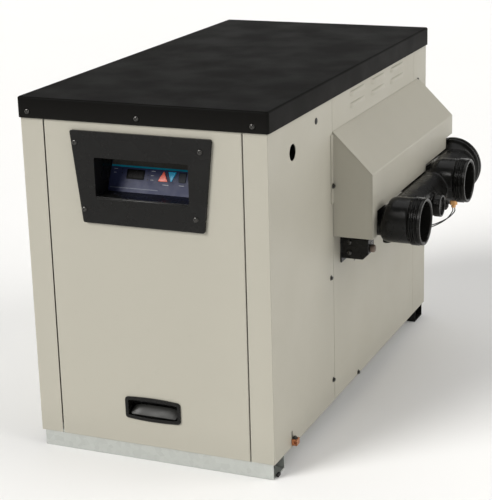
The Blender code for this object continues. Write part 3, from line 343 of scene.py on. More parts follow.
def slot_of(node):
    return next(e["material_slot"] for e in frame["record"]["subparts"] if e["node"] == node)


# ---------------------------------------------------------------- building pieces
EDGE_SHARE = 0.3                          # of a narrow face's breadth that an edge may round away
BENT = math.radians(30)                   # edges bent more than this are softened
FLAT = math.radians(0.6)                  # faces bent less than this are one flat face
WELD = 0.00002


def add_piece(name, shape, slot, body, material=None, smooth=35, place=None):
    """A finished piece from a bmesh: it has its material, chosen by its slot unless one is given, and the
    body that it rides on.
    """
    mesh = bpy.data.meshes.new(name)
    shape.to_mesh(mesh)
    shape.free()
    return add_mesh(name, mesh, slot, body, material, smooth, place)


def add_mesh(name, mesh, slot, body, material=None, smooth=35, place=None):
    if not mesh.materials:
        mesh.materials.append(material or LOOKS[slot].material)
    if smooth:
        mesh.shade_smooth()
        mesh.set_sharp_from_angle(angle=math.radians(smooth))
    made = bpy.data.objects.new(name, mesh)
    bpy.context.scene.collection.objects.link(made)
    if place is not None:
        made.matrix_world = place
    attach(made, body)
    return made


def breadth(face):
    """About how wide a face is across its narrow way."""
    return 2 * face.calc_area() / sum(edge.calc_length() for edge in face.edges)


def soften(made, width, segments=2):
    """Small rounded edges, as folded sheet and moulded plastic have, finer where a face is narrow."""
    shape = bmesh.new()
    shape.from_mesh(made.data)
    weights = shape.edges.layers.float.new("bevel_weight_edge")
    for edge in shape.edges:
        if len(edge.link_faces) == 2 and edge.calc_face_angle(0) > BENT:
            narrow = min(breadth(face) for face in edge.link_faces)
            edge[weights] = min(1.0, EDGE_SHARE * narrow / width)
    shape.to_mesh(made.data)
    shape.free()
    bevel = made.modifiers.new("edges", "BEVEL")
    bevel.width = width
    bevel.segments = segments
    bevel.limit_method = "WEIGHT"
    bevel.use_clamp_overlap = True
    normals = made.modifiers.new("flat_faces", "WEIGHTED_NORMAL")
    normals.keep_sharp = True
    return made


def node_shape(node):
    """A CAD node's own mesh, welded and with its flat faces made whole again."""
    shape = bmesh.new()
    shape.from_mesh(NODES[node].data)
    bmesh.ops.remove_doubles(shape, verts=shape.verts, dist=WELD)
    bmesh.ops.dissolve_limit(shape, angle_limit=FLAT, verts=shape.verts, edges=shape.edges)
    return shape


def softened(node, name, width, segments=2):
    """A CAD node's shape with softened edges, shown in the node's place."""
    made = add_piece(name, node_shape(node), slot_of(node), NODES[node]["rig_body"], smooth=40)
    soften(made, width, segments)
    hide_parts(node)
    return made


def block(low, high):
    shape = bmesh.new()
    bmesh.ops.create_cube(shape, size=1.0)
    low, high = Vector(low), Vector(high)
    for vertex in shape.verts:
        vertex.co = low + Vector((c + 0.5) * (h - l) for c, l, h in zip(vertex.co, low, high))
    return shape


def skin(rings, closed=True):
    """A body from rings of equally many points: the last joins the first, or both are capped."""
    shape = bmesh.new()
    loops = [[shape.verts.new(p) for p in ring] for ring in rings]
    count = len(loops[0])
    pairs = list(zip(loops, loops[1:])) + ([(loops[-1], loops[0])] if closed else [])
    for one, other in pairs:
        for k in range(count):
            shape.faces.new((one[k], one[(k + 1) % count], other[(k + 1) % count], other[k]))
    if not closed:
        shape.faces.new(loops[0])
        shape.faces.new(loops[-1])
    bmesh.ops.recalc_face_normals(shape, faces=shape.faces)
    return shape


def lathe(profile, count=48, closed=False, ripple=None):
    """Turned round local Z from (radius, height) points, whose radius a ripple may vary."""
    rings = []
    for radius, height in profile:
        ring = []
        for k in range(count):
            angle = 2 * math.pi * k / count
            r = ripple(radius, height, angle) if ripple else radius
            ring.append((r * math.cos(angle), r * math.sin(angle), height))
        rings.append(ring)
    return skin(rings, closed)


def facing(direction, place):
    """Local Z turned to a direction, at a place."""
    turn = Vector((0, 0, 1)).rotation_difference(Vector(direction)).to_matrix().to_4x4()
    return Matrix.Translation(place) @ turn


def joined(*shapes):
    """Several closed shapes in one mesh."""
    first = shapes[0]
    for other in shapes[1:]:
        mesh = bpy.data.meshes.new("part")
        other.to_mesh(mesh)
        other.free()
        first.from_mesh(mesh)
        bpy.data.meshes.remove(mesh)
    return first


def arc(centre, radius, start, end, steps):
    """Points on an arc in a plane, angles in degrees."""
    angles = [math.radians(start + (end - start) * k / steps) for k in range(steps + 1)]
    return [(centre[0] + radius * math.cos(a), centre[1] + radius * math.sin(a)) for a in angles]


def rounded_rectangle(half_x, half_y, radius, steps=5):
    points = []
    for sx, sy, start in ((1, 1, 0), (-1, 1, 90), (-1, -1, 180), (1, -1, 270)):
        centre = (sx * (half_x - radius), sy * (half_y - radius))
        points += arc(centre, radius, start, start + 90, steps)
    return points


def plate(outline, low, high, edge):
    """A flat plate along local Z, with its edges rounded by edge."""
    cx = sum(p[0] for p in outline) / len(outline)
    cy = sum(p[1] for p in outline) / len(outline)
    reach = max(max(abs(p[0] - cx), abs(p[1] - cy)) for p in outline)
    turned = edge * 0.3
    steps = ((edge, low), (0, low + edge), (0, high - edge), (turned, high - turned), (edge, high))
    rings = []
    for inset, height in steps:
        share = 1 - inset / reach
        rings.append([(cx + (x - cx) * share, cy + (y - cy) * share, height) for x, y in outline])
    return skin(rings, closed=False)


def evaluated(made):
    """The mesh that an object's modifiers give, as its new plain mesh."""
    graph = bpy.context.evaluated_depsgraph_get()
    return bpy.data.meshes.new_from_object(made.evaluated_get(graph))


def scratch(shape):
    mesh = bpy.data.meshes.new("scratch")
    shape.to_mesh(mesh)
    shape.free()
    made = bpy.data.objects.new("scratch", mesh)
    bpy.context.scene.collection.objects.link(made)
    return made


def carved(shape, *cutters, solver="EXACT"):
    """A shape with others cut out of it, as a new bmesh."""
    base = scratch(shape)
    tools = [scratch(c) for c in cutters]
    for tool in tools:
        step = base.modifiers.new("cut", "BOOLEAN")
        step.object = tool
        step.operation = "DIFFERENCE"
        step.solver = solver
    mesh = evaluated(base)
    result = bmesh.new()
    result.from_mesh(mesh)
    bpy.data.meshes.remove(mesh)
    for old in [base, *tools]:
        bpy.data.objects.remove(old)
    return result


# ---------------------------------------------------------------- fasteners
def pan_head_mesh(radius, height):
    """A domed screw head with a cross recess."""
    dome = [(radius, 0.0), (radius, height * 0.25), (radius * 0.94, height * 0.55),
            (radius * 0.78, height * 0.82), (radius * 0.5, height * 0.97), (radius * 0.2, height)]
    slot, reach, floor = radius * 0.13, radius * 0.52, height * 0.45
    cross = [block((-reach, -slot, floor), (reach, slot, height * 2)),
             block((-slot, -reach, floor), (slot, reach, height * 2))]
    mesh = bpy.data.meshes.new("pan_head")
    carved(lathe(dome, 24), *cross).to_mesh(mesh)
    return mesh


def hex_head_mesh(radius, height):
    """A hexagonal head on its own washer."""
    washer = lathe([(radius, 0.0), (radius, height * 0.14), (radius * 0.86, height * 0.26)], 24)
    across = radius * 0.66
    head = lathe([(across, height * 0.2), (across, height * 0.86), (radius * 0.56, height)], 6)
    mesh = bpy.data.meshes.new("hex_head")
    joined(washer, head).to_mesh(mesh)
    return mesh


def add_screw(name, kind, place, direction, body, turn=0.0):
    turned = facing(direction, place) @ Matrix.Rotation(turn, 4, "Z")
    return add_mesh(name, HEADS[kind], "black_screw", body, smooth=40, place=turned)


# ---------------------------------------------------------------- sensor leads
WIRE_RADIUS = 0.0013
WIRE_SPACING = 0.0075
LEAD_SAGS = {"upper": (0.0025, 0.030), "lower": (-0.0025, 0.036)}     # sideways start, and sag
GROMMET = (0.2764, 0.125, 0.372)


def lead_route(side, sag):
    """From the brass well down, forwards in a low bow, and up again to the grommet in the side panel."""
    low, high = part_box("thermowell")
    x, y = (low.x + high.x) / 2, (low.y + high.y) / 2
    top = low.z - 0.0004
    start = Vector((x + side, y, top))
    end = Vector(GROMMET) + Vector((0, 0, side))
    near_panel = Vector((0.319, GROMMET[1] + 0.012, GROMMET[2] - 0.016 + 2 * side))
    return [start, start + Vector((0, 0, -0.010)),
            Vector((x - 0.012 + side, y - 0.020, top - sag * 0.75)),
            Vector((x - 0.040 + side, y - 0.055, top - sag * 1.05)),
            Vector((x - 0.075 + side, y - 0.085, top - sag * 1.02)),
            near_panel, end + Vector((0.018, 0, -0.001 + side / 2)), end]


def smooth_line(route, spacing):
    """Evenly spaced points along a Catmull-Rom curve through the route."""
    route = [Vector(p) for p in route]
    ends = [2 * route[0] - route[1]] + route + [2 * route[-1] - route[-2]]
    dense = []
    for i in range(1, len(ends) - 2):
        a, b, c, d = ends[i - 1:i + 3]
        for k in range(24):
            t = k / 24
            dense.append(0.5 * (2 * b + (c - a) * t + (2 * a - 5 * b + 4 * c - d) * t * t
                                + (3 * b - a - 3 * c + d) * t ** 3))
    dense.append(route[-1])
    lengths = [0.0]
    for a, b in zip(dense, dense[1:]):
        lengths.append(lengths[-1] + (b - a).length)
    count = max(2, round(lengths[-1] / spacing))
    points = []
    k = 0
    for i in range(count + 1):
        want = lengths[-1] * i / count
        while k < len(dense) - 2 and lengths[k + 1] < want:
            k += 1
        share = (want - lengths[k]) / (lengths[k + 1] - lengths[k])
        points.append(dense[k].lerp(dense[k + 1], min(1.0, share)))
    return points


def tube(name, points, radius, slot, body, sides=3):
    """A round lead or pipe along points, with capped ends."""
    curve = bpy.data.curves.new(name, "CURVE")
    curve.dimensions = "3D"
    curve.bevel_depth = radius
    curve.bevel_resolution = sides
    curve.use_fill_caps = True
    spline = curve.splines.new("POLY")
    spline.points.add(len(points) - 1)
    for target, point in zip(spline.points, points):
        target.co = (*point, 1.0)
    spline.use_smooth = True
    curve.materials.append(LOOKS[slot].material)
    made = bpy.data.objects.new(name, curve)
    bpy.context.scene.collection.objects.link(made)
    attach(made, body)
    return made


def make_wires():
    for which, (side, sag) in LEAD_SAGS.items():
        route = lead_route(side, sag)
        points = smooth_line(route, WIRE_SPACING / 2)
        lead = tube("lead_" + which, points, WIRE_RADIUS, "black_rubber", "cabinet")
        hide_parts("sensor_wire_" + which)


make_camera()
make_wires()
dress_nodes()
HEADS = {"pan": pan_head_mesh(radius=0.0056, height=0.0032),
         "hex": hex_head_mesh(radius=0.0060, height=0.0044)}


# ---------------------------------------------------------------- lid
LID_SHEET = 0.0015
LID_CORNER = 0.006
LID_EDGE = 0.0042
LID_HEM = 0.003
LID_HEM_HEIGHT = 0.008


def make_lid():
    """A pan folded from one sheet: crowned edges, tight corners and a doubled lower edge."""
    low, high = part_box("top_lid")
    centre = (low + high) / 2

    def ring(inset, z):
        radius = max(LID_CORNER - inset, 0.001)
        outline = rounded_rectangle(high.x - centre.x - inset, high.y - centre.y - inset, radius)
        return [(centre.x + x, centre.y + y, z) for x, y in outline]

    outer = [ring(0, low.z)] + [ring(LID_EDGE - d, z) for d, z in
                                arc((0, high.z - LID_EDGE), LID_EDGE, 0, 90, 5)]
    roof = high.z - LID_SHEET
    inner_edge = LID_EDGE - LID_SHEET
    inner = [ring(LID_SHEET + inner_edge - d, z) for d, z in
             reversed(arc((0, roof - inner_edge), inner_edge, 0, 90, 4))]
    hem_top = low.z + LID_HEM_HEIGHT
    hem = [ring(LID_SHEET, hem_top), ring(LID_HEM, hem_top), ring(LID_HEM, low.z)]
    shape = skin(outer[::-1] + hem[::-1] + inner[::-1], closed=False)
    lid = add_piece("lid_pan", shape, "lid_paint", "cabinet", smooth=40)
    lid.modifiers.new("flat_faces", "WEIGHTED_NORMAL").keep_sharp = True
    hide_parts("top_lid")
    for side in ("left", "middle", "right"):
        node = "lid_screw_" + side
        x, _, z = middle(node)
        turn = 0.4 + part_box(node)[0].x
        head = add_screw("lid_head_" + side, "pan", (x, low.y - PROUD, z), (0, -1, 0), "cabinet", turn)
        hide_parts(node)


# ---------------------------------------------------------------- cabinet sheets
def make_cabinet():
    """The sheets, rails and inner parts that only need their edges softened."""
    for node, name, width in (
            ("door_panel", "door_skin", 0.0014), ("side_panel_left", "left_side", 0.0014),
            ("side_panel_right_front", "right_front_side", 0.0014),
            ("side_panel_right_rear", "right_rear_side", 0.0005), ("back_panel", "rear_side", 0.0014),
            ("base_rail_front", "front_rail", 0.0012), ("base_rail_middle", "middle_rail", 0.0012),
            ("base_rail_rear", "rear_rail", 0.0012), ("base_pan", "floor_pan", 0.0006),
            ("front_top_rail", "upper_rail", 0.0006), ("divider_panel", "divider", 0.0005),
            ("gas_valve", "gas_valve_body", 0.0040), ("transformer", "transformer_block", 0.0020),
            ("control_housing", "keypad_case", 0.0008), ("control_board", "keypad_board", 0.0003),
            ("combustion_chamber", "fire_box", 0.0020), ("burner_tray", "burner_pan", 0.0005),
            ("flue_collector", "flue_box", 0.0005), ("tube_sheet", "tube_plate", 0.0015),
            ("return_header", "return_box", 0.0060)):
        softened(node, name, width)


LOUVRE_HEIGHT = 0.0110
LOUVRE_OUT = 0.0044
LOUVRE_LENGTH = 0.105
LOUVRE_DEPTHS = (0.470, 0.613, 0.756)
LOUVRE_ROWS = (0.700, 0.674)
LOUVRE_SHEET = 0.0009
LOUVRE_SUNK = 0.0003                      # the hoods reach this far into the panel


def make_louvres():
    """Long pressed hoods over the slots, open along their lower edge."""
    along, up = 28, 8

    def bulge(u, v):
        """How far the hood stands out, from 0 to 1, along it and up it."""
        ends = min(1.0, 7 * u, 2.2 * (1 - u))
        return (1 - (1 - ends) ** 2) * math.sqrt(max(0.0, 1 - v ** 2.2))

    for row, z in enumerate(LOUVRE_ROWS):
        for column, depth in enumerate(LOUVRE_DEPTHS):
            shape = bmesh.new()
            layers = []
            for lift in (0.0, -LOUVRE_SHEET):
                grid = []
                for j in range(up + 1):
                    v = j / up
                    line = []
                    for i in range(along + 1):
                        u = i / along
                        out = LOUVRE_OUT * bulge(u, v) + lift - LOUVRE_SUNK
                        y = FRONT_Y + depth + LOUVRE_LENGTH * u
                        line.append(shape.verts.new((SIDE_X + out, y, z - 0.0008 + LOUVRE_HEIGHT * v)))
                    grid.append(line)
                layers.append(grid)
            for grid in layers:
                for j in range(up):
                    for i in range(along):
                        shape.faces.new((grid[j][i], grid[j][i + 1], grid[j + 1][i + 1], grid[j + 1][i]))
            outer, inner = layers
            rim = [(j, 0) for j in range(up)] + [(up, i) for i in range(along)]
            rim += [(j, along) for j in range(up, 0, -1)] + [(0, i) for i in range(along, 0, -1)]
            for (j, i), (k, m) in zip(rim, rim[1:] + rim[:1]):
                shape.faces.new((outer[j][i], outer[k][m], inner[k][m], inner[j][i]))
            bmesh.ops.recalc_face_normals(shape, faces=shape.faces)
            add_piece(f"louvre_{row + 1}_{column + 1}", shape, "painted_steel", "cabinet", smooth=60)


SIDE_SCREWS = (("hex", 0.340, 0.326), ("hex", 0.348, 0.087), ("hex", 0.515, 0.041), ("pan", 0.978, 0.642))
HOLE_PLUG = (0.260, 0.689)                # depth from the front, and height


def make_side_details():
    """Screws, the small hole's plug, the rail's end pads and the lug's screw."""
    for index, (kind, depth, z) in enumerate(SIDE_SCREWS, 1):
        place = (SIDE_X + PROUD, FRONT_Y + depth, z)
        add_screw(f"side_screw_{index}", kind, place, (1, 0, 0), "cabinet", 0.3 * index)
    plug = lathe([(0.0070, 0), (0.0070, 0.0006), (0.0060, 0.0013), (0.0030, 0.0017)], 32)
    depth, z = HOLE_PLUG
    add_piece("hole_plug", plug, "black_rubber", "cabinet",
              place=facing((1, 0, 0), (SIDE_X + PROUD, FRONT_Y + depth, z)))

    low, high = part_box("base_rail_front")
    for name, sign in (("left", -1), ("right", 1)):
        edge = high.x * sign
        outline = rounded_rectangle(0.0030, 0.0070, 0.0015, 3)
        pad = plate(outline, 0.0, 0.0065, 0.0010)
        add_piece("rail_pad_" + name, pad, "black_rubber", "cabinet",
                  place=Matrix.Translation((edge + 0.001 * sign, low.y + 0.022, 0.0)))
    softened("bonding_lug", "ground_lug", 0.0012)
    x, y, _ = middle("bonding_lug")
    add_screw("lug_screw", "hex", (x - 0.001, y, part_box("bonding_lug")[1].z), (0, 0, 1), "cabinet")


# ---------------------------------------------------------------- hood
def make_hood():
    softened("hood_cover", "hood_shell", 0.0016)
    _, y, z = middle("hood_screw")
    head = add_screw("hood_head", "hex", (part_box("hood_screw")[0].x + 0.0110, y, z), (1, 0, 0), "cabinet")
    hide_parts("hood_screw")


# ---------------------------------------------------------------- door controls
def keypad_place():
    """From keypad coordinates (across, up the slope, out of it) to the frame's."""
    tilt = math.radians(26)
    foot, thickness = 0.003, 0.0008
    low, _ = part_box("keypad_overlay")
    y = low.y + foot * math.sin(tilt) + thickness * math.cos(tilt)
    z = low.z + foot * math.cos(tilt)
    return Matrix.Translation((0, y, z)) @ Matrix.Rotation(math.pi / 2 - tilt, 4, "X")


BEZEL_SCREWS = (("upper_left", -0.144, 0.6765), ("upper_right", 0.130, 0.6755),
                ("lower_left", -0.130, 0.540), ("lower_right", 0.1165, 0.539))
LIP_RADIUS = 0.0026
LIP_HALF = 0.1000                         # half of the lip's length, under the keypad window


def make_bezel():
    """The bezel, its four screws and the rolled lip along the foot of its window."""
    softened("bezel", "control_bezel", 0.0036, 4)
    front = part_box("bezel")[0].y
    for name, x, z in BEZEL_SCREWS:
        add_screw("bezel_screw_" + name, "pan", (x, front - PROUD, z), (0, -1, 0), "door", 0.5 + 3 * x)
    profile = arc((0, 0), LIP_RADIUS, 90, 270, 8)
    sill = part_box("keypad_overlay")[0].z - 0.0005
    ends = ((0.0, 0.15), (0.0008, 0.7), (0.0022, 1))     # inset from the tip, and share of the full size
    stations = [(inset - LIP_HALF, share) for inset, share in ends]
    stations += [(LIP_HALF - inset, share) for inset, share in reversed(ends)]
    rings = []
    for x, share in stations:
        rings.append([(x, front + 0.0006 + a * share * 0.8, sill + b * share) for a, b in profile])
    add_piece("bezel_lip", skin(rings, closed=False), "black_plastic", "door", smooth=50)


def inlay(name, outlines, material, lift, slot):
    """Thin printed shapes on the keypad."""
    shapes = [plate(o, lift, lift + 0.00010, 0.00004) for o in outlines]
    return add_piece(name, joined(*shapes), slot, "door", material, place=keypad_place(), smooth=0)


def rectangle(x0, x1, y0, y1):
    return [(x0, y0), (x1, y0), (x1, y1), (x0, y1)]


PRINT_FLOOR = 0.00082                     # the printing's underside above the keypad's own plane
KEYPAD_HALF = 0.1025
MARK_HEIGHT = 0.0008
MARK_BARS = ((-0.0960, -0.0880, 0.0455), (-0.0960, -0.0900, 0.0375), (-0.0120, -0.0030, 0.0455),
             (-0.0120, -0.0060, 0.0365), (-0.0120, -0.0050, 0.0275), (0.0170, 0.0300, 0.0195),
             (0.0530, 0.0640, 0.0205))    # left, right and foot of each short bar
LAMP_RADIUS = 0.0013
LAMPS = ((-0.0770, 0.0459), (-0.0770, 0.0379), (-0.0180, 0.0459), (-0.0180, 0.0369), (-0.0180, 0.0279))


def make_keypad():
    """The film with its printed band, stripe, marks, rule and lamps, and the three keys."""
    overlay = softened("keypad_overlay", "keypad_sheet", 0.0002)
    overlay.modifiers["edges"].segments = 1
    band = rectangle(-KEYPAD_HALF, KEYPAD_HALF, 0.0542, 0.0860)
    stripe = rectangle(-KEYPAD_HALF, KEYPAD_HALF, 0.0505, 0.0540)
    marks = [rectangle(left, right, foot, foot + MARK_HEIGHT) for left, right, foot in MARK_BARS]
    rule = rectangle(-0.1000, 0.0080, 0.0065, 0.0083)
    lamps = [arc(centre, LAMP_RADIUS, 0, 337.5, 15) for centre in LAMPS]
    prints = (("band", [band], BAND), ("stripe", [stripe], STRIPE), ("marks", marks, MARKS),
              ("rule", [rule], RULE), ("lamps", lamps, SEGMENTS))
    for name, outlines, material in prints:
        inlay("keypad_" + name, outlines, material, PRINT_FLOOR, "keypad_film")
    keys = {"up_button": "raise_key", "down_button": "lower_key", "mode_button": "select_key"}
    for node, name in keys.items():
        softened(node, name, 0.00045, 3)
    make_display()


DISPLAY = (-0.0645, -0.0279, 0.0280, 0.0452)         # left, right, foot and top, in keypad coordinates
DIGIT_PITCH = 0.0110
DIGIT_SLANT = 0.12
SEGMENT_LONG, SEGMENT_WIDE, SEGMENT_GAP = 0.0044, 0.0010, 0.0004
SEGMENT_PLACES = ((0, 1, True), (0, 0, True), (0, -1, True), (-0.5, 0.5, False), (0.5, 0.5, False),
                  (-0.5, -0.5, False), (0.5, -0.5, False))    # across, up, and whether it lies flat


def make_display():
    """The dark lens in a thin frame, with three unlit seven-segment digits behind it."""
    softened("display_window", "display_lens", 0.0004)
    left, right, low, high = DISPLAY
    outer = rectangle(left - 0.0016, right + 0.0016, low - 0.0016, high + 0.0016)
    inner = rectangle(left + 0.0003, right - 0.0003, low + 0.0003, high - 0.0003)
    rings = []
    for outline, z in ((outer, 0.0008), (outer, 0.0013), (inner, 0.0015), (inner, 0.0008)):
        rings.append([(x, y, z) for x, y in outline])
    add_piece("display_frame", skin(rings), "display_lens", "door", place=keypad_place(), smooth=0)
    reach = SEGMENT_LONG + SEGMENT_WIDE
    long, wide = SEGMENT_LONG / 2 - SEGMENT_GAP, SEGMENT_WIDE / 2
    bars = []
    for digit in range(3):
        cx, cy = left + 0.0073 + DIGIT_PITCH * digit, (low + high) / 2
        for across, up, flat in SEGMENT_PLACES:
            y = cy + up * reach
            x = cx + across * reach + (y - cy) * DIGIT_SLANT
            hx, hy = (long, wide) if flat else (wide, long)
            bars.append([(x - hx, y), (x - hx * 0.8, y - hy), (x + hx * 0.8, y - hy),
                         (x + hx, y), (x + hx * 0.8, y + hy), (x - hx * 0.8, y + hy)])
    inlay("display_digits", bars, SEGMENTS, 0.00122, "display_lens")


LINING_PROFILE = ((-0.0540, 0.0), (-0.0500, 0.30), (-0.0440, 0.70), (-0.0360, 1.0), (0.0300, 1.0),
                  (0.0420, 0.75), (0.0500, 0.35), (0.0540, 0.0))     # across, and share of the dish's rise


def make_pull():
    """The flush pull, and the shallow dished lining in its pocket, painted a lighter black as a painted
    sheen where it catches the light.
    """
    softened("pull_handle", "flush_pull", 0.0009, 3)
    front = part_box("pull_handle")[0].y
    centre = middle("pull_handle")[2]
    rings = []
    for x, share in LINING_PROFILE:
        lip = centre - 0.0152 + 0.0016 * share
        top = centre - 0.0055 + 0.0072 * share
        rings.append([(x, front + 0.0026, lip), (x, front + 0.0214, top),
                      (x, front + 0.0224, top - 0.0012), (x, front + 0.0026, centre - 0.0168)])
    add_piece("pull_lining", skin(rings, closed=False), "black_plastic", "door", PULL_PAINTED_SHEEN, smooth=70)


# ---------------------------------------------------------------- water header
VOXEL = 0.0021
SMOOTHING = 9
SEAT_GAP = 0.0004                         # what screws on to the moulding stands this far off it
BARREL_RADIUS = 0.0500
PORT_BORE = 0.0435
BARREL_FOOT = 0.0915                      # how far out a barrel's leaning back starts at its foot
TRUNK_RADIUS = 0.038
TRUNK_BORE = 0.030
FLANGE_NECK = 0.050                       # the trunk's radius where it meets its end flange
STEP_DEPTH = 0.755                        # where the trunk widens, from the cabinet's front
NECK_RADIUS = 0.034                       # the two necks into the cabinet
NECK_BORE = 0.026

_, INLET_Y, PORT_Z = middle("inlet_fitting")
OUTLET_Y = middle("outlet_fitting")[1]
FLANGE_X, _, AXIS_Z = middle("header_end_cap")
TRUNK_X = SIDE_X + 0.112
SEAT_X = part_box("inlet_fitting")[0].x - SEAT_GAP
END_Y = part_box("header_end_cap")[0].y - SEAT_GAP
NECKS_Y = (INLET_Y + 0.027, OUTLET_Y + 0.027)


def slanted_barrel(y, back_high):
    """A port's barrel whose closed back leans: it starts nearer the cabinet at its foot."""
    rings = []
    for share, along in ((0.55, 0.0), (0.80, 0.003), (0.95, 0.009), (1.0, 0.018), (1.0, None)):
        ring = []
        for k in range(64):
            angle = 2 * math.pi * k / 64
            lift = math.sin(angle) * share
            back = BARREL_FOOT + (back_high - BARREL_FOOT) * (lift + 1) / 2
            x = SEAT_X if along is None else SIDE_X + back + along
            ring.append((x, y + BARREL_RADIUS * share * math.cos(angle), PORT_Z + BARREL_RADIUS * lift))
        rings.append(ring)
    return skin(rings, closed=False)


def round_bar(start, end, radius, count=48, radius_end=None):
    start, end = Vector(start), Vector(end)
    shape = lathe([(radius, 0), (radius_end or radius, (end - start).length)], count)
    shape.transform(facing(end - start, start))
    return shape


def trunk_shape():
    """The main pipe: a domed front end, a step up in size, and the neck of its end flange."""
    step = FRONT_Y + STEP_DEPTH - INLET_Y
    profile = [(0.020, 0), (0.032, 0.004), (TRUNK_RADIUS, 0.014), (TRUNK_RADIUS, step - 0.004),
               (0.041, step + 0.008), (0.0485, step + 0.024), (FLANGE_NECK, step + 0.034),
               (FLANGE_NECK, END_Y - INLET_Y - 0.002)]
    trunk = lathe(profile, 64)
    trunk.transform(facing((0, 1, 0), (TRUNK_X, INLET_Y, AXIS_Z)))
    return trunk


def header_solids():
    """What the moulding is melted together from: trunk, barrels, flange, bosses and necks."""
    flange = (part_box("header_end_cap")[1].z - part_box("header_end_cap")[0].z) / 2
    cap_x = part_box("bypass_cap")[0].x - SEAT_GAP
    _, bypass_y, bypass_z = middle("bypass_cap")
    drain_x, drain_y, _ = middle("drain_plug")
    drain_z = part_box("drain_plug")[1].z + SEAT_GAP
    x, foot_z = SIDE_X + 0.104, PORT_Z - BARREL_RADIUS
    solids = [
        trunk_shape(),
        slanted_barrel(INLET_Y, 0.1080),
        slanted_barrel(OUTLET_Y, 0.1040),
        round_bar((x, INLET_Y, foot_z + 0.006), (x, INLET_Y, foot_z - 0.004), 0.0095, 32),
        round_bar((FLANGE_X, END_Y - 0.012, AXIS_Z), (FLANGE_X, END_Y, AXIS_Z), flange - 0.001, 96),
        round_bar((FLANGE_X, END_Y - 0.030, AXIS_Z), (FLANGE_X, END_Y - 0.010, AXIS_Z), FLANGE_NECK, 64,
                  flange - 0.006),
        round_bar((TRUNK_X - 0.01, bypass_y, bypass_z), (cap_x, bypass_y, bypass_z), 0.021),
        round_bar((cap_x - 0.0086, bypass_y, bypass_z), (cap_x, bypass_y, bypass_z), 0.0245),
        round_bar((drain_x, drain_y, AXIS_Z), (drain_x, drain_y, drain_z), 0.0115, 32),
        round_bar((drain_x, drain_y, drain_z + 0.0046), (drain_x, drain_y, drain_z), 0.0140, 32),
    ]
    for y in NECKS_Y:
        solids.append(round_bar((SIDE_X - 0.030, y, AXIS_Z), (TRUNK_X, y, AXIS_Z), NECK_RADIUS))
    return solids


def header_bores():
    """The cutters for both ports, the trunk and the two necks."""
    bores = [round_bar((TRUNK_X - 0.006, y, PORT_Z), (SEAT_X + 0.01, y, PORT_Z), PORT_BORE, 64)
             for y in (INLET_Y, OUTLET_Y)]
    bores.append(round_bar((TRUNK_X, INLET_Y + 0.02, AXIS_Z), (TRUNK_X, END_Y + 0.01, AXIS_Z), TRUNK_BORE))
    bores += [round_bar((SIDE_X - 0.04, y, AXIS_Z), (TRUNK_X, y + 0.0003, AXIS_Z), NECK_BORE, 40)
              for y in NECKS_Y]
    return bores


def make_header():
    """One smooth moulding: the trunk, both port barrels, the bypass boss, necks and the end flange."""
    body = scratch(joined(*header_solids()))
    remesh = body.modifiers.new("one_skin", "REMESH")
    remesh.mode = "VOXEL"
    remesh.voxel_size = VOXEL
    smooth = body.modifiers.new("fillets", "SMOOTH")
    smooth.factor = 0.5
    smooth.iterations = SMOOTHING
    mesh = evaluated(body)
    bpy.data.objects.remove(body)
    shape = bmesh.new()
    shape.from_mesh(mesh)
    shape = carved(shape, *header_bores(), solver="MANIFOLD")
    made = add_piece("header_moulding", shape, "black_plastic", "cabinet", smooth=50)
    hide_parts("header_manifold")
    for name, y in (("inlet", INLET_Y), ("outlet", OUTLET_Y)):
        make_thread(name, y, PORT_Z)
    make_end_cap()
    make_bypass_cap()


THREAD_PITCH = 0.0048
THREAD_HEIGHT = 0.0030
THREAD_TURNS = 4.2
THREAD_STEPS = 44
LIP_LENGTH = 0.0080                       # the plain end beyond the thread


def make_thread(name, y, z):
    """The threaded tailpiece: a real helix on the outside, a sealing lip and a chamfered bore."""
    low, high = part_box(name + "_fitting")
    length = high.x - low.x
    crest = (high.z - low.z) / 2
    root, bore = crest - THREAD_HEIGHT, PORT_BORE
    zone = (length - LIP_LENGTH - THREAD_TURNS * THREAD_PITCH, length - LIP_LENGTH)

    def ripple(radius, height, angle):
        if radius < root - 0.0005 or not zone[0] < height < zone[1]:
            return radius
        turn = (height / THREAD_PITCH - angle / (2 * math.pi)) % 1.0
        tooth = min(1.0, max(0.0, 1.6 - 4.4 * abs(turn - 0.5)))
        fade = min(1.0, (height - zone[0]) / 0.003, (zone[1] - height) / 0.0015)
        return radius + (crest - root) * tooth * max(0.0, fade)

    profile = [(bore, 0.0), (root, 0.0)]
    profile += [(root, zone[0] + (zone[1] - zone[0]) * k / THREAD_STEPS) for k in range(THREAD_STEPS + 1)]
    lip = root + 0.0016
    profile += [(root - 0.001, length - 0.0074), (root - 0.001, length - 0.0064), (lip, length - 0.0055),
                (lip, length - 0.0012), (lip - 0.0010, length), (bore + 0.0022, length),
                (bore, length - 0.0022)]
    shape = lathe(profile, 96, closed=True, ripple=ripple)
    made = add_piece(name + "_thread", shape, "black_plastic", "cabinet", smooth=38,
                     place=facing((1, 0, 0), (low.x, y, z)))
    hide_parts(name + "_fitting")


COVER_BOLTS = 8


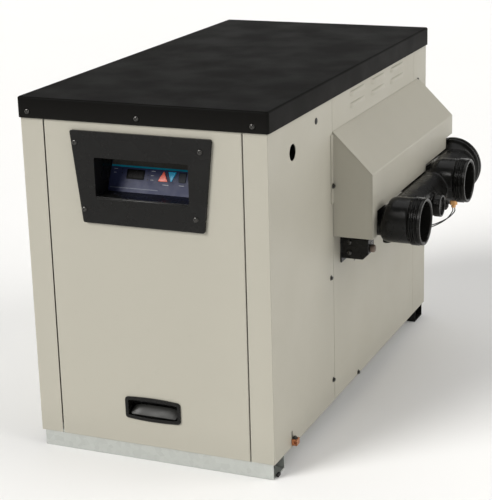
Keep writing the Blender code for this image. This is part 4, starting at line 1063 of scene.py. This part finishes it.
def make_end_cap():
    """The domed cover of the end flange, with its ring of bolts."""
    low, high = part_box("header_end_cap")
    radius, depth = (high.z - low.z) / 2, high.y - low.y
    dome = [(radius - 0.001, 0.0), (radius, 0.001), (radius, 0.0085), (radius - 0.0015, 0.0100),
            (radius - 0.014, 0.0104), (0.0500, 0.0118), (0.0440, 0.0150), (0.0300, depth - 0.0015),
            (0.0100, depth)]
    made = add_piece("end_cover", lathe(dome, 72), "black_plastic", "cabinet",
                     place=facing((0, 1, 0), (FLANGE_X, low.y, AXIS_Z)))
    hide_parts("header_end_cap")
    reach = radius - 0.008
    for k in range(COVER_BOLTS):
        angle = math.radians(360 / COVER_BOLTS * (k + 0.5))
        place = (FLANGE_X + reach * math.cos(angle), low.y + 0.0101, AXIS_Z + reach * math.sin(angle))
        add_screw(f"cover_bolt_{k + 1}", "hex", place, (0, 1, 0), "cabinet", 0.7 * k)


def make_bypass_cap():
    """The bypass valve's hand cap, ribbed round its rim and hollowed at its face."""
    low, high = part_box("bypass_cap")
    radius, depth = (high.z - low.z) / 2, high.x - low.x

    def ribs(r, height, angle):
        grip = 0.003 < height < depth - 0.004 and r > radius - 0.0012
        return r - (0.0007 * max(0.0, math.cos(24 * angle)) if grip else 0.0)

    profile = [(radius - 0.003, 0.0), (radius - 0.001, 0.0012), (radius, 0.0032), (radius, 0.006),
               (radius, depth - 0.0045), (radius, depth - 0.0015), (radius - 0.0008, depth),
               (radius - 0.0040, depth), (radius - 0.0052, depth - 0.0045), (0.004, depth - 0.0050)]
    _, y, z = middle("bypass_cap")
    made = add_piece("bypass_knob", lathe(profile, 120, ripple=ribs), "black_plastic", "cabinet", smooth=45,
                     place=facing((1, 0, 0), (low.x, y, z)))
    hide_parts("bypass_cap")


# ---------------------------------------------------------------- pressure switch
def make_switch():
    """The pressure switch: its block, a backing plate, two tabs and the small pipe to the header."""
    softened("pressure_switch", "switch_block", 0.0016)
    low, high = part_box("pressure_switch")
    _, y_middle, z_middle = middle("pressure_switch")
    collar = plate(rounded_rectangle(0.012, 0.011, 0.003), 0, 0.004, 0.0008)
    add_piece("switch_collar", collar, "black_plastic", "cabinet",
              place=facing((1, 0, 0), (high.x - 0.0036, y_middle, z_middle + 0.003)))
    for index, z in enumerate((low.z + 0.014, high.z - 0.009), 1):
        place = (low.x + 0.020, low.y - PROUD, z)
        add_screw(f"switch_screw_{index}", "pan", place, (0, -1, 0), "cabinet", z * 90)
    backing = block((low.x, low.y - 0.003, low.z - 0.010), (low.x + 0.003, high.y + 0.004, high.z))
    soften(add_piece("switch_plate", backing, "black_plastic", "cabinet", smooth=30), 0.0008)
    for index, y in enumerate((low.y + 0.010, high.y - 0.010), 1):
        tab = block((low.x + 0.028, y - 0.0032, low.z - 0.006), (low.x + 0.0288, y + 0.0032, low.z + 0.004))
        soften(add_piece(f"switch_tab_{index}", tab, "black_screw", "cabinet", smooth=30), 0.0002)
    route = [(high.x + out, y_middle + back, high.z + up) for out, back, up in (
        (-0.014, 0, -0.004), (-0.014, 0, 0.001), (-0.006, 0.002, 0.006), (0.012, 0.006, 0.010),
        (0.028, 0.010, 0.014))]
    tube("switch_pipe", smooth_line(route, 0.002), 0.0030, "black_rubber", "cabinet", 5)


def make_dial():
    """The switch's adjusting dial: a knurled disc with a screwdriver slot."""
    low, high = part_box("pressure_dial")
    radius, depth = (high.z - low.z) / 2, high.x - low.x

    def notches(r, _height, angle):
        return r - (0.0005 * max(0.0, math.cos(18 * angle)) if r > radius - 0.0006 else 0.0)

    profile = [(radius - 0.0008, 0), (radius, 0.0008), (radius, depth - 0.003),
               (radius - 0.0012, depth - 0.001), (radius - 0.0028, depth - 0.0004), (0.001, depth - 0.0004)]
    slot = block((-radius * 0.62, -0.0009, depth - 0.0022), (radius * 0.62, 0.0009, 1))
    knob = carved(lathe(profile, 72, ripple=notches), slot)
    _, y, z = middle("pressure_dial")
    made = add_piece("switch_dial", knob, "dial_grey", "pressure_knob", smooth=40,
                     place=facing((1, 0, 0), (low.x, y, z)))
    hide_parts("pressure_dial")


# ---------------------------------------------------------------- behind the door
MOTOR_BANDS = 5
BAND_PITCH = 0.012
VALVE_SCREW_INSET = 0.012


def make_inner_details():
    """What shows when the door is up: the blower's cooling ribs and the valve's screws."""
    low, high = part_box("blower_motor")
    _, y, z = middle("blower_motor")
    radius = (high.z - low.z) / 2
    sunk, proud = radius - 0.0010, radius + 0.0008
    for k in range(MOTOR_BANDS):
        x = 0.010 + BAND_PITCH * k
        profile = [(sunk, x), (proud, x + 0.0010), (proud, x + 0.0040), (sunk, x + 0.0050)]
        add_piece(f"motor_band_{k + 1}", lathe(profile, 64, closed=True), "galvanised", "cabinet",
                  place=facing((1, 0, 0), (low.x, y, z)))
    near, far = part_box("gas_valve")
    left, right = near.x + VALVE_SCREW_INSET, far.x - VALVE_SCREW_INSET
    foot, top = near.z + VALVE_SCREW_INSET, far.z - VALVE_SCREW_INSET
    for index, (x, z) in enumerate(((left, foot), (right, foot), (left, top), (right, top)), 1):
        add_screw(f"valve_screw_{index}", "pan", (x, near.y - PROUD, z), (0, -1, 0), "cabinet", 0.4 * index)


# ---------------------------------------------------------------- stage
FLOOR_SWEEP = ((0.01, 0.0), (12.0, 0.0), (13.2, 0.3), (14.0, 1.1), (14.3, 3.2))      # radius and height
FLOOR_SIDES = 64


def make_stage():
    """A wide pale floor that turns up far behind, so that every side has a pale ground."""
    shape = bmesh.new()
    rings = []
    for radius, z in FLOOR_SWEEP:
        angles = [2 * math.pi * k / FLOOR_SIDES for k in range(FLOOR_SIDES)]
        rings.append([shape.verts.new((radius * math.cos(a), radius * math.sin(a), z)) for a in angles])
    for one, other in zip(rings, rings[1:]):
        for k in range(FLOOR_SIDES):
            after = (k + 1) % FLOOR_SIDES
            shape.faces.new((one[k], other[k], other[after], one[after]))
    shape.faces.new(rings[0])
    data = bpy.data.meshes.new("floor")
    shape.to_mesh(data)
    shape.free()
    data.shade_smooth()
    look = Look("pale_floor", (0.86, 0.86, 0.855), 0.85, specular=0.2)
    look.tint(look.spread(look.noise(0.6, 2), 0.3, 0.7, 0.0, 0.3), (0.83, 0.83, 0.825))
    data.materials.append(look.material)
    floor = bpy.data.objects.new("floor", data)
    bpy.context.scene.collection.objects.link(floor)


def add_light(name, direction, strength, softness, colour=(1, 1, 1)):
    """A wide, even lamp that shines from a direction. Softness is the angle that it fills, in degrees."""
    data = bpy.data.lights.new(name, "SUN")
    data.energy = strength
    data.angle = math.radians(softness)
    data.color = colour
    made = bpy.data.objects.new(name, data)
    made.rotation_mode = "QUATERNION"
    made.rotation_quaternion = Vector(direction).to_track_quat("Z", "Y")
    bpy.context.scene.collection.objects.link(made)


def make_lights():
    add_light("key", (-0.50, -0.72, 0.60), 2.6, 28, (1.0, 0.985, 0.96))
    add_light("fill", (0.80, 0.10, 0.55), 1.35, 50, (1.0, 0.975, 0.94))
    add_light("top", (0.0, 0.25, 1.0), 0.9, 60)
    world = bpy.data.worlds.new("studio")
    world.use_nodes = True
    background = world.node_tree.nodes["Background"]
    background.inputs["Color"].default_value = (0.93, 0.94, 0.95, 1)
    background.inputs["Strength"].default_value = 0.16
    bpy.context.scene.world = world
    bpy.context.scene.view_settings.view_transform = "Standard"


make_lid()
make_cabinet()
make_louvres()
make_side_details()
make_hood()
make_bezel()
make_keypad()
make_pull()
make_header()
make_switch()
make_dial()
make_inner_details()
make_stage()
make_lights()
